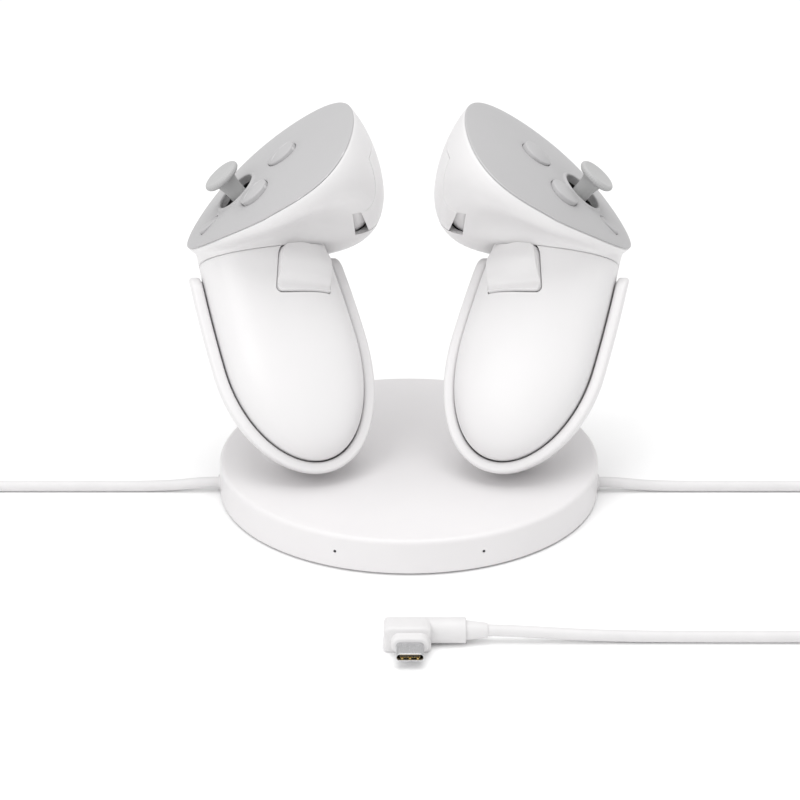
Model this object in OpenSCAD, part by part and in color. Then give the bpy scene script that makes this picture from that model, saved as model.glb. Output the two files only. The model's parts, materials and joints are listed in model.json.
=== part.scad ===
// Charging dock for a pair of hand controllers.
// +Z up, +Y away from the user, origin at the middle of the underside of the round base.
// The left-hand piece of each pair is modelled in place, and the right-hand one is its mirror image.

/* [Dock base] */
// Diameter of the round base
base_d = 124; // [112:1:150]
// Height of the base, with its foot pad
base_h = 12; // [11:0.5:16]
// Thickness of the base shell
base_wall = 2.2; // [1.6:0.1:2.6]
// Rounding of the top edge of the base
base_edge = 1.2; // [0.4:0.1:2]
// How far the foot pad stands below the shell
foot_proud = 0.6; // [0.4:0.1:1]
// Diameter of the ballast plate
ballast_d = 64; // [40:1:70]

/* [Cradles] */
// Thickness of a cradle's wall
cradle_wall = 3.6; // [2.6:0.1:4.2]
// Gap between a cradle and the handle in it
cradle_gap = 0.45; // [0.4:0.05:0.8]
// How far a cradle's arms stop short of the top of the handle
cradle_short = 2.5; // [2:0.5:20]
// Diameter of the post under a cradle
post_d = 22; // [16:1:26]

/* [Handles] */
// Width of a handle
handle_w = 43.4; // [38:0.2:48]
// Height of a handle, to the crease under its head
handle_h = 69; // [66:0.5:80]
// Depth of a handle in front of its parting line
handle_front_depth = 13; // [12:0.2:16]
// Depth of a handle behind its parting line
handle_back_depth = 18; // [16:0.2:22]
// Height of the rounded lower end of a handle
handle_round = 36; // [30:1:44]
// Thickness of the controller's shells
shell_wall = 1.8; // [1.4:0.1:2.2]
// How much the crease under the head falls towards the triggers
crease_slope = 0.11; // [0:0.01:0.15]
// How far a handle leans back from upright
recline = 36; // [25:1:45]
// How far a handle turns away from straight ahead
turn = 15; // [0:1:25]
// How far a handle leans sideways in its cradle
lean = 8; // [0:1:15]

/* [Heads] */
// Length of the face, from its tip to its broad end
face_l = 69.2; // [62:0.2:76]
// Width of the face, where the egg shape is neither tip nor broad end
face_w = 60; // [56:0.2:66]
// How much narrower the tip is than the broad end
face_taper = 0.4; // [0:0.05:0.5]
// Height of the dome of the face
face_dome = 4; // [3:0.1:5]
// Thickness of the face plate
face_plate_t = 2; // [1.6:0.1:2.4]
// Tilt of the face above level
face_tilt = 39.5; // [30:0.5:50]
// How far the underside of the head swells over the index trigger
head_swell = 0.6; // [0.4:0.01:0.8]

/* [Controls] */
// Diameter of the stick's cap
stick_cap_d = 12.8; // [10:0.1:14]
// Diameter of the stick's opening
stick_hole_d = 14; // [12.5:0.1:15]
// Height of the stick's cap over the face
stick_rise = 7.2; // [6:0.1:9]
// Diameter of a round button
button_d = 10.4; // [8:0.1:11]
// How far a round button stands over the face
button_rise = 1.8; // [1:0.1:2.2]
// Travel of a button
button_travel = 0.7; // [0.3:0.05:0.9]
// Length of the menu button
menu_l = 8; // [5:0.1:9]
// Width of the menu button
menu_w = 3; // [2.4:0.1:4]
// Clearance around each button
button_gap = 0.15; // [0.1:0.01:0.3]
// Length of the index trigger, from its hinge
index_l = 26; // [22:0.5:28]
// Width of the index trigger
index_w = 22; // [20:0.5:26]
// Travel of the index trigger, in degrees
index_travel = 9; // [4:1:10]
// Length of the grip trigger, from its hinge
grip_l = 14; // [11:0.5:16]
// Width of the grip trigger
grip_w = 17; // [16:0.5:19]
// Gap around each trigger
trigger_gap = 0.4; // [0.3:0.05:0.6]
// Diameter of the trigger hinge pins
pin_d = 1.6; // [1.2:0.1:2]
// Clearance of a hinge pin in its bore
pin_gap = 0.05; // [0.02:0.01:0.1]

/* [Cords] */
// Diameter of both cords
cord_d = 3.6; // [3.6:0.1:3.6]

/* [Hidden] */

$fn = 64;
far = 200;                      // longer than anything that it cuts
cradle_top = handle_h - cradle_short;
slit = 0.1;                     // parting line between two shells of one controller
base_r = base_d / 2;
deck = base_h - base_wall;      // underside of the top of the base
cover_t = 2.2;
cover_top = foot_proud + cover_t;
pad_r = base_r - 8;
pad_t = foot_proud + 0.3;
screw_ring = base_r - 17;
screw_head_r = 2.4;
screw_r = 1;
board_top = cover_top + 2.1;
board_y = 14 - base_r;          // front edge of the dock's board
light_x = 23.1;
light_z = 6.2;
light_r = 0.4;

cord_r = cord_d / 2;
cord_y = -3;
exit_z = 3.3;
gland_r = 2.5;

// Frames: a handle's own x runs across it, y up it and z out of its cradle
function about_x(a) = [[1, 0, 0], [0, cos(a), -sin(a)], [0, sin(a), cos(a)]];
function about_y(a) = [[cos(a), 0, sin(a)], [0, 1, 0], [-sin(a), 0, cos(a)]];
function about_z(a) = [[cos(a), -sin(a), 0], [sin(a), cos(a), 0], [0, 0, 1]];
handle_at = [-27.6, -23.8, 21.2];
handle_turn = about_z(turn) * about_x(90 - recline) * about_z(lean);
function handle_point(p) = handle_at + handle_turn * p;
// The face's own x runs from its tip to its broad end, y away from the user and z out of it
face_rise = 24.8;
face_at = handle_point([-1.5, handle_h, 0]) + [2.4, 2.5, face_rise];
face_roll = 3.6;
face_turn = about_y(-face_tilt) * about_x(face_roll);
function face_point(p) = face_at + face_turn * p;
module at_handle() {
    translate(handle_at) rotate([0, 0, turn]) rotate([90 - recline, 0, 0]) rotate([0, 0, lean]) children();
}
module at_face() { translate(face_at) rotate([0, -face_tilt, 0]) rotate([face_roll, 0, 0]) children(); }

// A moulded skin is kept as one faceted form
module moulded() { resize([0, 0, 0]) children(); }
function middle(ring) = [for (k = [0:2])
    let (v = [for (p = ring) p[k]]) (v * [for (p = ring) 1]) / len(ring)];
// A closed skin over rings of the same number of points, capped at both ends
module skin(rings) {
    n = len(rings[0]);
    m = len(rings);
    points = [for (r = rings) each r, middle(rings[0]), middle(rings[m - 1])];
    sides = [for (j = [0:m - 2], i = [0:n - 1])
        let (a = j * n + i, b = j * n + (i + 1) % n) each [[a, b, b + n], [a, b + n, a + n]]];
    caps = [for (i = [0:n - 1])
        each [[m * n, (i + 1) % n, i], [m * n + 1, (m - 1) * n + i, (m - 1) * n + (i + 1) % n]]];
    polyhedron(points, concat(sides, caps));
}
function power(v, e) = sign(v) * pow(abs(v), e);

// Handle: rounded below, nearly straight above, with flattened flanks
ring_n = 30;
flank = 2 / 2.4;
end_angles = [8, 18, 28, 40, 52, 65, 78, 90];
function way_up(y) = max(0, (y - handle_round) / (handle_h - handle_round));
function handle_scale(y) = 1 - 0.06 * pow(way_up(y), 2);
function crease(y, x) = y - crease_slope * x * way_up(y);
function handle_ring(y, s, grow) = let (
    w = (handle_w / 2 * handle_scale(y) + grow) * s,
    f = (handle_front_depth + grow) * pow(s, 0.9),
    b = (handle_back_depth + grow) * pow(s, 0.9),
    shift = y < handle_round ? 1.5 * pow(1 - max(y, 0) / handle_round, 2) : 0
) [for (i = [0:ring_n - 1]) let (a = 360 * i / ring_n)
    let (x = w * power(cos(a), flank), z = (sin(a) > 0 ? f : b) * power(sin(a), flank))
        [shift + x, crease(y, x), z]];
module handle_form(grow, top) {
    low = [for (a = end_angles) handle_ring(handle_round - (handle_round + grow) * cos(a), sin(a), grow)];
    high = [for (k = [1:3]) handle_ring(handle_round + (top - handle_round) * k / 3, 1, grow)];
    skin(concat(low, high));
}
module in_front(z) { translate([-far / 2, -far / 2, z]) cube(far); }
module behind(z) { translate([-far / 2, -far / 2, z - far]) cube(far); }
module above_level(y) { translate([-far / 2, y, -far / 2]) cube(far); }

// Head: a skin from the top of the handle to the rim of the face
dome_r = (pow(face_w / 2, 2) + pow(face_dome, 2)) / (2 * face_dome) * 1.18;
function dome_z(x, y) = face_dome - (x * x + y * y) / (2 * dome_r);
tip_share = 0.477;              // the tip's share of the length of the face
function egg(a, inset) = [
    (face_l * (cos(a) > 0 ? 1 - tip_share : tip_share) - inset) * power(cos(a), cos(a) > 0 ? 0.88 : 1),
    (face_w / 2 - inset) * (1 + face_taper * cos(a)) * sin(a)
];
function face_ring(inset, drop) = [for (i = [0:ring_n - 1]) let (e = egg(-360 * i / ring_n, inset))
    face_point([e[0], e[1], dome_z(e[0], e[1]) - drop])];
function blend4(a, b, c, d, t) =
    a * pow(1 - t, 3) + b * 3 * t * pow(1 - t, 2) + c * 3 * t * t * (1 - t) + d * pow(t, 3);
lip_t = 0.5;                    // the plate's edge lies over the rim of the head, and its middle drops in
seam_drop = lip_t + 0.2;
plate_gap = 1.8;               // room between the dropped-in middle and the wall of the head
head_n = 12;
function head_side(i) = pow(max(0, cos(360 * i / ring_n)), 1.2);
// An inner skin's foot is raised where the head reaches out past the handle, so that its floor has a wall
function head_rings(inset) = let (
    up = handle_turn * [0, 1, 0],
    low = handle_ring(handle_h, 1, -inset),
    foot = [for (i = [0:ring_n - 1]) handle_point(low[i]) + up * (inset * head_side(i))],
    rim = face_ring(inset, seam_drop),
    out = handle_turn * [1, 0, 0],
    face_n = face_turn * [0, 0, 1]
) [for (k = [0:head_n]) [for (i = [0:ring_n - 1]) let (
    side = head_side(i),
    reach = norm(rim[i] - foot[i]),
    lead = up * (1 - 1.25 * side) + out * side,
    b = foot[i] + lead / norm(lead) * reach * (0.33 + (head_swell - 0.33) * side),
    c = rim[i] - face_n * reach * 0.35
) blend4(foot[i], b, c, rim[i], k / head_n)]];
// The foot and the rim of an inner skin run a little past the outer one's
module head_form(inset) {
    r = head_rings(inset);
    past = 2;
    below = [for (p = r[0]) p - (handle_turn * [0, past, 0])];
    over = [for (p = r[head_n]) p + (face_turn * [0, 0, past])];
    skin(inset > 0 ? concat([below], r, [over]) : r);
}

// Index trigger: x out of the head, z up to its hinge, y across
index_at = [27.5, 1, -11];
index_lean = 24.8;
index_back = 1.5;
index_skin = 2;
lap_l = 5;                      // how far the trigger's lap runs on behind the wall of the head
lap_t = 1;
lap_gap = 0.4;
module at_index() { at_face() translate(index_at) rotate([0, index_lean, 0]) children(); }
module index_zone(grow) {
    intersection() {
        rotate([90, 0, 0]) cylinder(r = index_l + grow, h = index_w + 2 * grow, center = true, $fn = 96);
        translate([-index_back - grow, -far / 2, -far + index_back + grow]) cube(far);
    }
}
// Grip trigger: x across, y up to its hinge, z out of the handle
grip_at = [9.2, handle_h - 4, 6.8];
grip_lean = 26.6;
grip_skew = 18;
grip_back = 2;
grip_skin = 1.8;
grip_proud = 1.2;
module at_grip() {
    at_handle() translate(grip_at) rotate([0, grip_lean, 0]) rotate([0, 0, -grip_skew]) children();
}
module grip_zone(grow) {
    intersection() {
        rotate([0, 90, 0]) cylinder(r = grip_l + grow, h = grip_w + 2 * grow, center = true, $fn = 96);
        translate([-far / 2, -far + 2.2 + grow, -grip_back - grow]) cube(far);
    }
}
barrel_r = pin_d / 2 + 1.2;
index_barrel = 12;
grip_barrel = 9;
ear_t = 1.4;
ear_gap = 0.3;

// Controls, in the face's frame
stick_at = [-8.6, -0.8];
lower_at = [-1.2, -12.3];
upper_at = [10.4, 0.8];
menu_at = [-21.3, -5.4];
pivot_z = -3.8;
ball_r = 3.5;
ring_in = ball_r + 0.3;
ring_out = ring_in + 1;
housing_w = 14.4;
housing_in = ring_out + 0.8;
board_z = -8;
board_t = 1.2;
board_inset = 13.3;
flange_t = 1.1;
flange_w = 0.9;
switch_h = 0.8;
housing_top = -2.1;
menu_stem = 3;
function dome_at(p) = dome_z(p[0], p[1]);
flange_top = [for (p = [lower_at, upper_at, menu_at]) dome_at(p) - face_plate_t - 1.3];

// Battery and contacts, in the handle's frame
cell_r = 7.1;
cell_at = [0, 12, -2.6];
cell_l = handle_h - 8 - cell_at[1];
tray_gap = 0.3;
tray_t = 1;
tray_z = cell_at[2] + cell_r + tray_gap;
tray_end = cell_at[1] + cell_l + 0.6;
contact_y = 20;
contact_pitch = 3;
contact_r = 1;
block_r = 5.2;
part_z = -1;
function back_z(y) = let (c = 1 - y / handle_round)
    -handle_back_depth * pow(sqrt(1 - c * c), 0.9);
contact_slope = atan((back_z(contact_y + 4) - back_z(contact_y - 4)) / 8);
module at_contact() {
    at_handle() translate([0, contact_y, back_z(contact_y)]) rotate([contact_slope, 0, 0]) children();
}

// Cord routes: points of each free stretch, and the coils that end them
power_route = [
    [-60, -3, 3.3], [-66, -3, 3.2], [-71, -3, 2.8], [-77, -3, 2.2], [-84, -3, 1.9], [-92, -3, 1.8],
    [-100, -3, 1.8], [-108, -3, 1.8], [-116, -3, 1.8], [-124, -3, 1.8], [-132, -3, 1.8], [-140, -3, 1.8],
    [-148, -3, 1.9], [-156, -3, 2.1], [-164, -3, 2.3], [-172, -3, 2.4]
];
power_tail = [
    [-199.3, 24.3, 2.4], [-199.3, 28, 2.5], [-199.3, 32, 2.8], [-199.3, 37, 3.3], [-199.3, 40, 3.3]
];
coil_mean = 40;
coil_across = 3;
coil_z = 0.6;
coil_out = coil_mean / 2 + coil_across * cord_d / 2;
coil_in = coil_mean / 2 - coil_across * cord_d / 2;
power_coil_at = [-172, 24.3];
power_layers = 4;
headset_route = [
    [60, -3, 3.3], [66, -3, 3.2], [71, -3, 2.8], [77, -3, 2.2], [84, -3, 1.9], [92, -3, 1.8],
    [100, -3, 1.8], [108, -3, 1.8], [116, -3, 1.8], [124, -3, 1.8], [132, -3, 1.8], [140, -3, 1.8],
    [148, -3, 1.9], [156, -3, 2.1], [164, -3, 2.3], [170, -3, 2.4]
];
headset_coil_at = [170, -30.3];
headset_layers = 2;
headset_tail = [
    [197.3, -30.3, 2.4], [197.3, -39, 2.3], [197, -48, 2.1], [195.8, -57, 1.9], [193.3, -66, 1.8],
    [189, -75, 1.8], [182.7, -83, 1.8], [174.5, -90, 1.8], [165, -95.5, 1.8], [154, -99.5, 1.8],
    [142, -102, 1.8], [130, -103.2, 1.8], [118, -103.4, 1.8], [106, -103.4, 1.8], [94, -103.4, 1.8],
    [82, -103.4, 1.8], [72, -103.4, 1.9], [62, -103.4, 2.1], [53, -103.4, 2.4], [44, -103.4, 2.9],
    [36, -103.4, 3.4], [29, -103.4, 3.8], [22, -103.4, 4]
];
plug_y = -103.4;
plug_z = 4;
sleeve_r = 3.9;
nose_y = -110;
nose_l = 3;
usb_w = 8.34;
usb_t = 2.56;
usb_wall = 0.32;
usb_l = 6.65;
usb_seat = 5.3;
mouth_y = nose_y - nose_l - usb_l;
power_plug_at = [-199.3, 38];
power_plug_z = 3.3;
relief_l = 8;

module cord_tube(route) {
    n = 8;
    m = len(route);
    function way(i) = let (v = route[min(i + 1, m - 1)] - route[max(i - 1, 0)]) v / norm(v);
    skin([for (i = [0:m - 1])
        let (t = way(i), s = cross([0, 0, 1], t) / norm(cross([0, 0, 1], t)), u = cross(t, s))
        [for (k = [0:n - 1]) route[i] - s * cord_r * cos(360 * k / n) + u * cord_r * sin(360 * k / n)]]);
}
module coil_form(at, height) {
    translate([at[0], at[1], coil_z]) rotate_extrude()
        translate([coil_in, 0]) square([coil_out - coil_in, height]);
}
module tie(at, angle, height) {
    difference() {
        translate([at[0], at[1], 0]) rotate([0, 0, angle]) translate([coil_in - 0.8, -3, 0])
            cube([coil_out - coil_in + 1.6, 6, coil_z + height + 0.8]);
        coil_form(at, height);
    }
}

// ---- Dock ----
module base_shell() {
    color("whitesmoke") difference() {
        union() {
            difference() {
                rotate_extrude($fn = 128) base_profile();
                translate([0, 0, -1]) cylinder(r = base_r - base_wall, h = deck + 1, $fn = 128);
            }
            for (a = [45:90:315]) rotate([0, 0, a]) translate([screw_ring, 0, cover_top])
                cylinder(r = 3.2, h = deck - cover_top + 0.5);
        }
        for (a = [45:90:315]) rotate([0, 0, a]) translate([screw_ring, 0, 0])
            cylinder(r = screw_r + pin_gap, h = deck - 1);
        for (s = [-1, 1]) {
            translate([s * base_r, cord_y, exit_z]) rotate([0, 90, 0])
                cylinder(r = gland_r + pin_gap, h = 12, center = true);
            translate([s * light_x, -base_r, light_z]) rotate([90, 0, 0])
                cylinder(r = light_r + pin_gap, h = 20, center = true);
            for (p = cradle_screw_places()) translate([s * p[0], p[1], deck - 1])
                cylinder(r = screw_r + 0.2, h = base_wall + 2);
            translate([s * post_at[0], post_at[1], deck - 1]) cylinder(r = 3, h = base_wall + 2);
        }
    }
}
module base_profile() {
    translate([0, foot_proud]) square([base_r - base_edge, base_h - foot_proud]);
    translate([0, foot_proud]) square([base_r, base_h - foot_proud - base_edge]);
    translate([base_r - base_edge, base_h - base_edge]) circle(r = base_edge, $fn = 32);
}
module base_cover() {
    color("gainsboro") difference() {
        union() {
            translate([0, 0, foot_proud]) cylinder(r = base_r - base_wall - 0.3, h = cover_t, $fn = 128);
            for (x = [-20, 20]) translate([x, board_y + 8, cover_top])
                cylinder(r = 2, h = board_top - cover_top - board_t);
        }
        translate([0, 0, foot_proud - 1]) cylinder(r = pad_r + 0.2, h = pad_t - foot_proud + 1, $fn = 128);
        for (a = [45:90:315]) rotate([0, 0, a]) translate([screw_ring, 0, -1]) {
            cylinder(r = screw_head_r + 0.1, h = cover_top - 0.8 + 1);
            cylinder(r = screw_r + 0.2, h = far / 10);
        }
        for (s = [-1, 1]) translate([s * base_r, cord_y, 3]) cube([10, 8, 8], center = true);
    }
}
module foot_pad() { color("lightgray") cylinder(r = pad_r, h = pad_t, $fn = 128); }
module ballast_plate() {
    color("silver") difference() {
        translate([0, 5, cover_top]) cylinder(d = ballast_d, h = 3);
        translate([0, 5, 0]) cylinder(r = 6, h = base_h);
    }
}
module dock_board() {
    color("seagreen") union() {
        translate([-27, board_y, board_top - board_t]) cube([54, 14, board_t]);
        for (s = [-1, 1]) translate([s * light_x - 1, board_y, board_top - 0.01]) cube([2, 3, 0.8]);
        translate([-6, board_y + 4, board_top - 0.01]) cube([12, 8, 1.2]);
    }
}
module status_lights() {
    color("dimgray") for (s = [-1, 1]) translate([s * light_x, 0, light_z]) {
        translate([0, -sqrt(pow(base_r - 0.15, 2) - pow(light_x, 2)), 0]) rotate([-90, 0, 0])
            cylinder(r = light_r, h = 9);
        translate([-1, board_y - 2.5, -1.6]) cube([2, 2, 2.4]);
    }
}
module screw(head_r, head_h, shank) {
    cylinder(r = head_r, h = head_h);
    cylinder(r = screw_r, h = head_h + shank);
}
module cover_screws() {
    color("silver") for (a = [45:90:315]) rotate([0, 0, a])
        translate([screw_ring, 0, cover_top - 0.8 - 1.1]) screw(screw_head_r, 1.1, 6);
}
post_at = [-36, 2];
module post() { translate([post_at[0], post_at[1], base_h]) cylinder(d = post_d, h = 18); }
function cradle_screw_places() = [for (a = [60, 180, 300]) post_at + 7 * [cos(a), sin(a)]];
module cradle_left() {
    color("whitesmoke") difference() {
        moulded() difference() {
            union() {
                at_handle() handle_form(cradle_gap + cradle_wall, cradle_top + 1);
                post();
            }
            at_handle() union() {
                handle_form(cradle_gap, cradle_top + 4);
                in_front(0);
                above_level(cradle_top);
            }
        }
        at_contact() translate([0, 0, -far / 4]) cylinder(r = block_r + 0.05, h = far / 4 + 1);
        translate([post_at[0], post_at[1], base_h - 1]) cylinder(r = 3, h = 9);
        for (p = cradle_screw_places()) translate([p[0], p[1], base_h - 1])
            cylinder(r = screw_r + pin_gap, h = 7);
    }
}
module cradle_right() { mirror([1, 0, 0]) cradle_left(); }
module cradle_screws() {
    color("silver") for (s = [0, 1]) mirror([s, 0, 0]) for (p = cradle_screw_places())
        translate([p[0], p[1], deck - 1.1]) screw(2, 1.1, base_wall + 5);
}
module contact_blocks() {
    color("dimgray") for (s = [0, 1]) mirror([s, 0, 0]) at_contact() {
        translate([0, 0, -4.6]) cylinder(r = block_r, h = 4);
        for (x = [-contact_pitch, 0, contact_pitch]) translate([x, 0, -1.4]) cylinder(r = 0.6, h = 1.3);
    }
}

// ---- Cords and plugs ----
module gland(side) {
    color("whitesmoke") translate([side * base_r, cord_y, exit_z]) rotate([0, -90 * side, 0]) difference() {
        union() {
            translate([0, 0, -0.3]) cylinder(r = gland_r, h = base_wall + 1.8);
            translate([-2.3, -3.4, base_wall + 0.6]) cube([4.9, 6.8, 1.4]);
        }
        translate([0, 0, -1]) cylinder(r = cord_r, h = 7);
    }
}
module power_gland() { gland(-1); }
module headset_gland() { gland(1); }
module power_cord() {
    color("white") {
        cord_tube(power_route);
        cord_tube(power_tail);
    }
}
module power_coil() { color("white") coil_form(power_coil_at, power_layers * cord_d); }
module power_tie() { color("gainsboro") tie(power_coil_at, 45, power_layers * cord_d); }
module power_plug_grip() {
    place = [power_plug_at[0], power_plug_at[1], power_plug_z];
    color("white") translate(place) rotate([-90, 0, 0]) difference() {
        union() {
            cylinder(r = 2.6, h = relief_l + 1);
            translate([0, 0, relief_l]) usb_oval(12, 2 * power_plug_z, 21);
        }
        translate([0, 0, -1]) cylinder(r = cord_r, h = 3);
        translate([0, 0, relief_l + 21 - usb_seat]) usb_oval(usb_w, usb_t, far);
    }
}
module power_plug_shell() {
    color("silver") translate([power_plug_at[0], power_plug_at[1] + relief_l + 21 + usb_l, power_plug_z])
        rotate([90, 0, 0]) {
            usb_shell();
            usb_tongue();
        }
}
module headset_cord() {
    color("white") {
        cord_tube(headset_route);
        cord_tube(headset_tail);
    }
}
module headset_coil() { color("white") coil_form(headset_coil_at, headset_layers * cord_d); }
module headset_tie() { color("gainsboro") tie(headset_coil_at, 135, headset_layers * cord_d); }
module headset_plug_body() {
    color("white") translate([0, plug_y, plug_z]) difference() {
        union() {
            translate([-7.5, 0, 0]) rotate([0, 90, 0]) cylinder(r = sleeve_r, h = 24.1);
            translate([16, 0, 0]) rotate([0, 90, 0]) cylinder(r = 2.6, h = 7);
            translate([-7.5, nose_y - plug_y, -sleeve_r]) cube([13.5, plug_y - nose_y, 2 * sleeve_r]);
            translate([-5.6, nose_y - plug_y - nose_l, -2.6]) cube([11.2, nose_l + 1, 5.2]);
        }
        translate([21, 0, 0]) rotate([0, 90, 0]) cylinder(r = cord_r, h = 6);
        translate([0, nose_y - nose_l - plug_y - 1, 0]) rotate([-90, 0, 0]) usb_oval(usb_w, usb_t, usb_seat + 1);
    }
}
module usb_oval(w, t, h) {
    for (s = [-1, 1]) translate([s * (w - t) / 2, 0, 0]) cylinder(d = t, h = h);
    translate([-(w - t) / 2, -t / 2, 0]) cube([w - t, t, h]);
}
module usb_shell() {
    difference() {
        usb_oval(usb_w, usb_t, usb_l + usb_seat);
        translate([0, 0, -1]) usb_oval(usb_w - 2 * usb_wall, usb_t - 2 * usb_wall, usb_l + 3);
    }
}
module usb_tongue() { translate([-3.3, -0.35, 1]) cube([6.6, 0.7, usb_l + 1]); }
module at_mouth() { translate([0, mouth_y, plug_z]) rotate([-90, 0, 0]) children(); }
module headset_plug_shell() { color("silver") at_mouth() usb_shell(); }
module headset_plug_tongue() { color("black") at_mouth() usb_tongue(); }

// ---- Controllers ----
module egg_plate(inset) {
    polygon([for (i = [0:59]) egg(6 * i, inset)]);
}
module domed_sheet(inset, t) {
    intersection() {
        translate([0, 0, -20]) linear_extrude(40) egg_plate(inset);
        translate([0, 0, face_dome - dome_r]) difference() {
            sphere(r = dome_r, $fn = 96);
            sphere(r = dome_r - t, $fn = 96);
        }
    }
}
module face_plate_left() {
    color("lightgray") at_face() difference() {
        union() {
            domed_sheet(0, lip_t);
            domed_sheet(shell_wall + plate_gap, face_plate_t);
            translate([stick_at[0], stick_at[1], dome_at(stick_at) - 1.4])
                cylinder(d = stick_hole_d + 2, h = 2);
        }
        translate([stick_at[0], stick_at[1], -10]) cylinder(d = stick_hole_d, h = 30);
        for (p = [lower_at, upper_at]) translate([p[0], p[1], -10])
            cylinder(d = button_d + 2 * button_gap, h = 30);
        translate([menu_at[0], menu_at[1], -10]) oval(menu_l + 2 * button_gap, menu_w + 2 * button_gap, 30);
    }
}
module oval(l, w, h) {
    for (s = [-1, 1]) translate([s * (l - w) / 2, 0, 0]) cylinder(d = w, h = h);
    translate([-(l - w) / 2, -w / 2, 0]) cube([l - w, w, h]);
}
module head_shell_left() {
    color("whitesmoke") moulded() difference() {
        head_form(0);
        head_form(shell_wall);
        at_index() for (press = [0, index_travel]) rotate([0, press, 0]) index_zone(trigger_gap);
    }
}
module handle_front_left() {
    color("whitesmoke") moulded() difference() {
        at_handle() difference() {
            handle_form(0, handle_h - slit);
            handle_form(-shell_wall, handle_h + 2);
            behind(part_z);
        }
        at_grip() grip_zone(trigger_gap);
    }
}
module handle_back_left() {
    color("whitesmoke") difference() {
        at_handle() moulded() difference() {
            handle_form(0, handle_h - slit);
            handle_form(-shell_wall, handle_h + 2);
            in_front(part_z - slit);
        }
        at_contact() for (x = [-1, 0, 1])
            translate([x * contact_pitch, 0, -2]) cylinder(r = contact_r + pin_gap, h = 8);
    }
}
module charge_contacts_left() {
    color("gold") at_contact() for (x = [-1, 0, 1])
        translate([x * contact_pitch, 0, 0.1]) cylinder(r = contact_r, h = shell_wall + 0.6);
}
// The lap keeps the opening shut while the trigger is out
module index_lap(outer, reach) {
    intersection() {
        difference() {
            head_form(outer);
            head_form(shell_wall + lap_gap + lap_t);
        }
        at_index() intersection() {
            rotate([90, 0, 0]) cylinder(r = index_l - 0.4, h = index_w - ear_t, center = true, $fn = 96);
            translate([-index_back - reach, -far / 2, -far - 4]) cube([reach + 1.8, far, far]);
        }
    }
}
module index_trigger_left() {
    color("whitesmoke") difference() {
        moulded() {
            difference() {
                intersection() {
                    head_form(0);
                    at_index() index_zone(0);
                }
                intersection() {
                    head_form(index_skin);
                    at_index() cube([far, index_w - 2 * ear_t, far], center = true);
                }
            }
            intersection() {
                head_form(index_skin / 2);
                at_index() translate([0, -index_barrel / 2, -1.2]) cube([12, index_barrel, 2.4]);
            }
            at_index() rotate([90, 0, 0]) cylinder(r = barrel_r, h = index_barrel, center = true, $fn = 32);
            index_lap(shell_wall + lap_gap, lap_l);
            index_lap(index_skin / 2, 0);
        }
        at_index() rotate([90, 0, 0]) cylinder(d = pin_d + 2 * pin_gap, h = far, center = true);
    }
}
module grip_trigger_left() {
    color("whitesmoke") difference() {
        moulded() {
            difference() {
                intersection() {
                    at_handle() handle_form(grip_proud, handle_h);
                    at_grip() grip_zone(0);
                    at_handle() in_front(0.5);
                }
                intersection() {
                    at_handle() handle_form(grip_proud - grip_skin, handle_h + 2);
                    at_grip() cube([grip_w - 2 * ear_t, far, far], center = true);
                }
            }
            intersection() {
                at_handle() handle_form(grip_proud - grip_skin / 2, handle_h + 2);
                at_grip() translate([-grip_barrel / 2, -1.2, 0]) cube([grip_barrel, 2.4, 12]);
            }
            at_grip() rotate([0, 90, 0]) cylinder(r = barrel_r, h = grip_barrel, center = true, $fn = 32);
        }
        at_grip() rotate([0, 90, 0]) cylinder(d = pin_d + 2 * pin_gap, h = far, center = true);
    }
}
module trigger_pins_left() {
    color("silver") {
        at_index() rotate([90, 0, 0])
            cylinder(d = pin_d, h = index_barrel + 2 * ear_gap + 2 * ear_t, center = true);
        at_grip() rotate([0, 90, 0])
            cylinder(d = pin_d, h = grip_barrel + 2 * ear_gap + 2 * ear_t, center = true);
    }
}
module thumbstick_left() {
    color("gray") at_face() translate([stick_at[0], stick_at[1], pivot_z]) union() {
        rotate_extrude() stick_profile();
        rotate([90, 0, 0]) cylinder(r = 0.7, h = 2 * (ring_out - 0.3), center = true);
    }
}
function cap_z() = dome_at(stick_at) + stick_rise - pivot_z;
module stick_profile() {
    z = cap_z();
    c = stick_cap_d / 2;
    difference() {
        union() {
            circle(r = ball_r);
            polygon([
                [0, 0], [2.9, 0], [2.9, z - 5], [3.65, z - 1.3],
                [c - 0.8, z - 1.2], [c, z - 0.5], [c, z + 0.3], [c - 0.7, z + 1], [0, z + 0.6]
            ]);
        }
        translate([-far, -far / 2]) square(far);
    }
}
module stick_ring_left() {
    color("dimgray") at_face() translate([stick_at[0], stick_at[1], pivot_z]) difference() {
        union() {
            difference() {
                cylinder(r = ring_out, h = 2, center = true);
                cylinder(r = ring_in, h = 3, center = true);
            }
            for (s = [-1, 1]) translate([s * (ring_in + 0.5), 0, 0]) rotate([0, 90 * s, 0])
                cylinder(r = 0.7, h = housing_w / 2 - ring_in - 0.7);
        }
        rotate([90, 0, 0]) cylinder(r = 0.7 + pin_gap, h = far, center = true);
    }
}
module stick_housing_left() {
    color("dimgray") at_face() translate([stick_at[0], stick_at[1], 0]) difference() {
        translate([-housing_w / 2, -housing_w / 2, board_z]) cube([housing_w, housing_w, housing_top - board_z]);
        translate([0, 0, board_z + 0.4]) cylinder(r = housing_in, h = 20);
        translate([0, 0, pivot_z]) rotate([0, 90, 0]) cylinder(r = 0.7 + pin_gap, h = far, center = true);
    }
}
plunger_z = board_z + switch_h + button_travel + 0.2;
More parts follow.
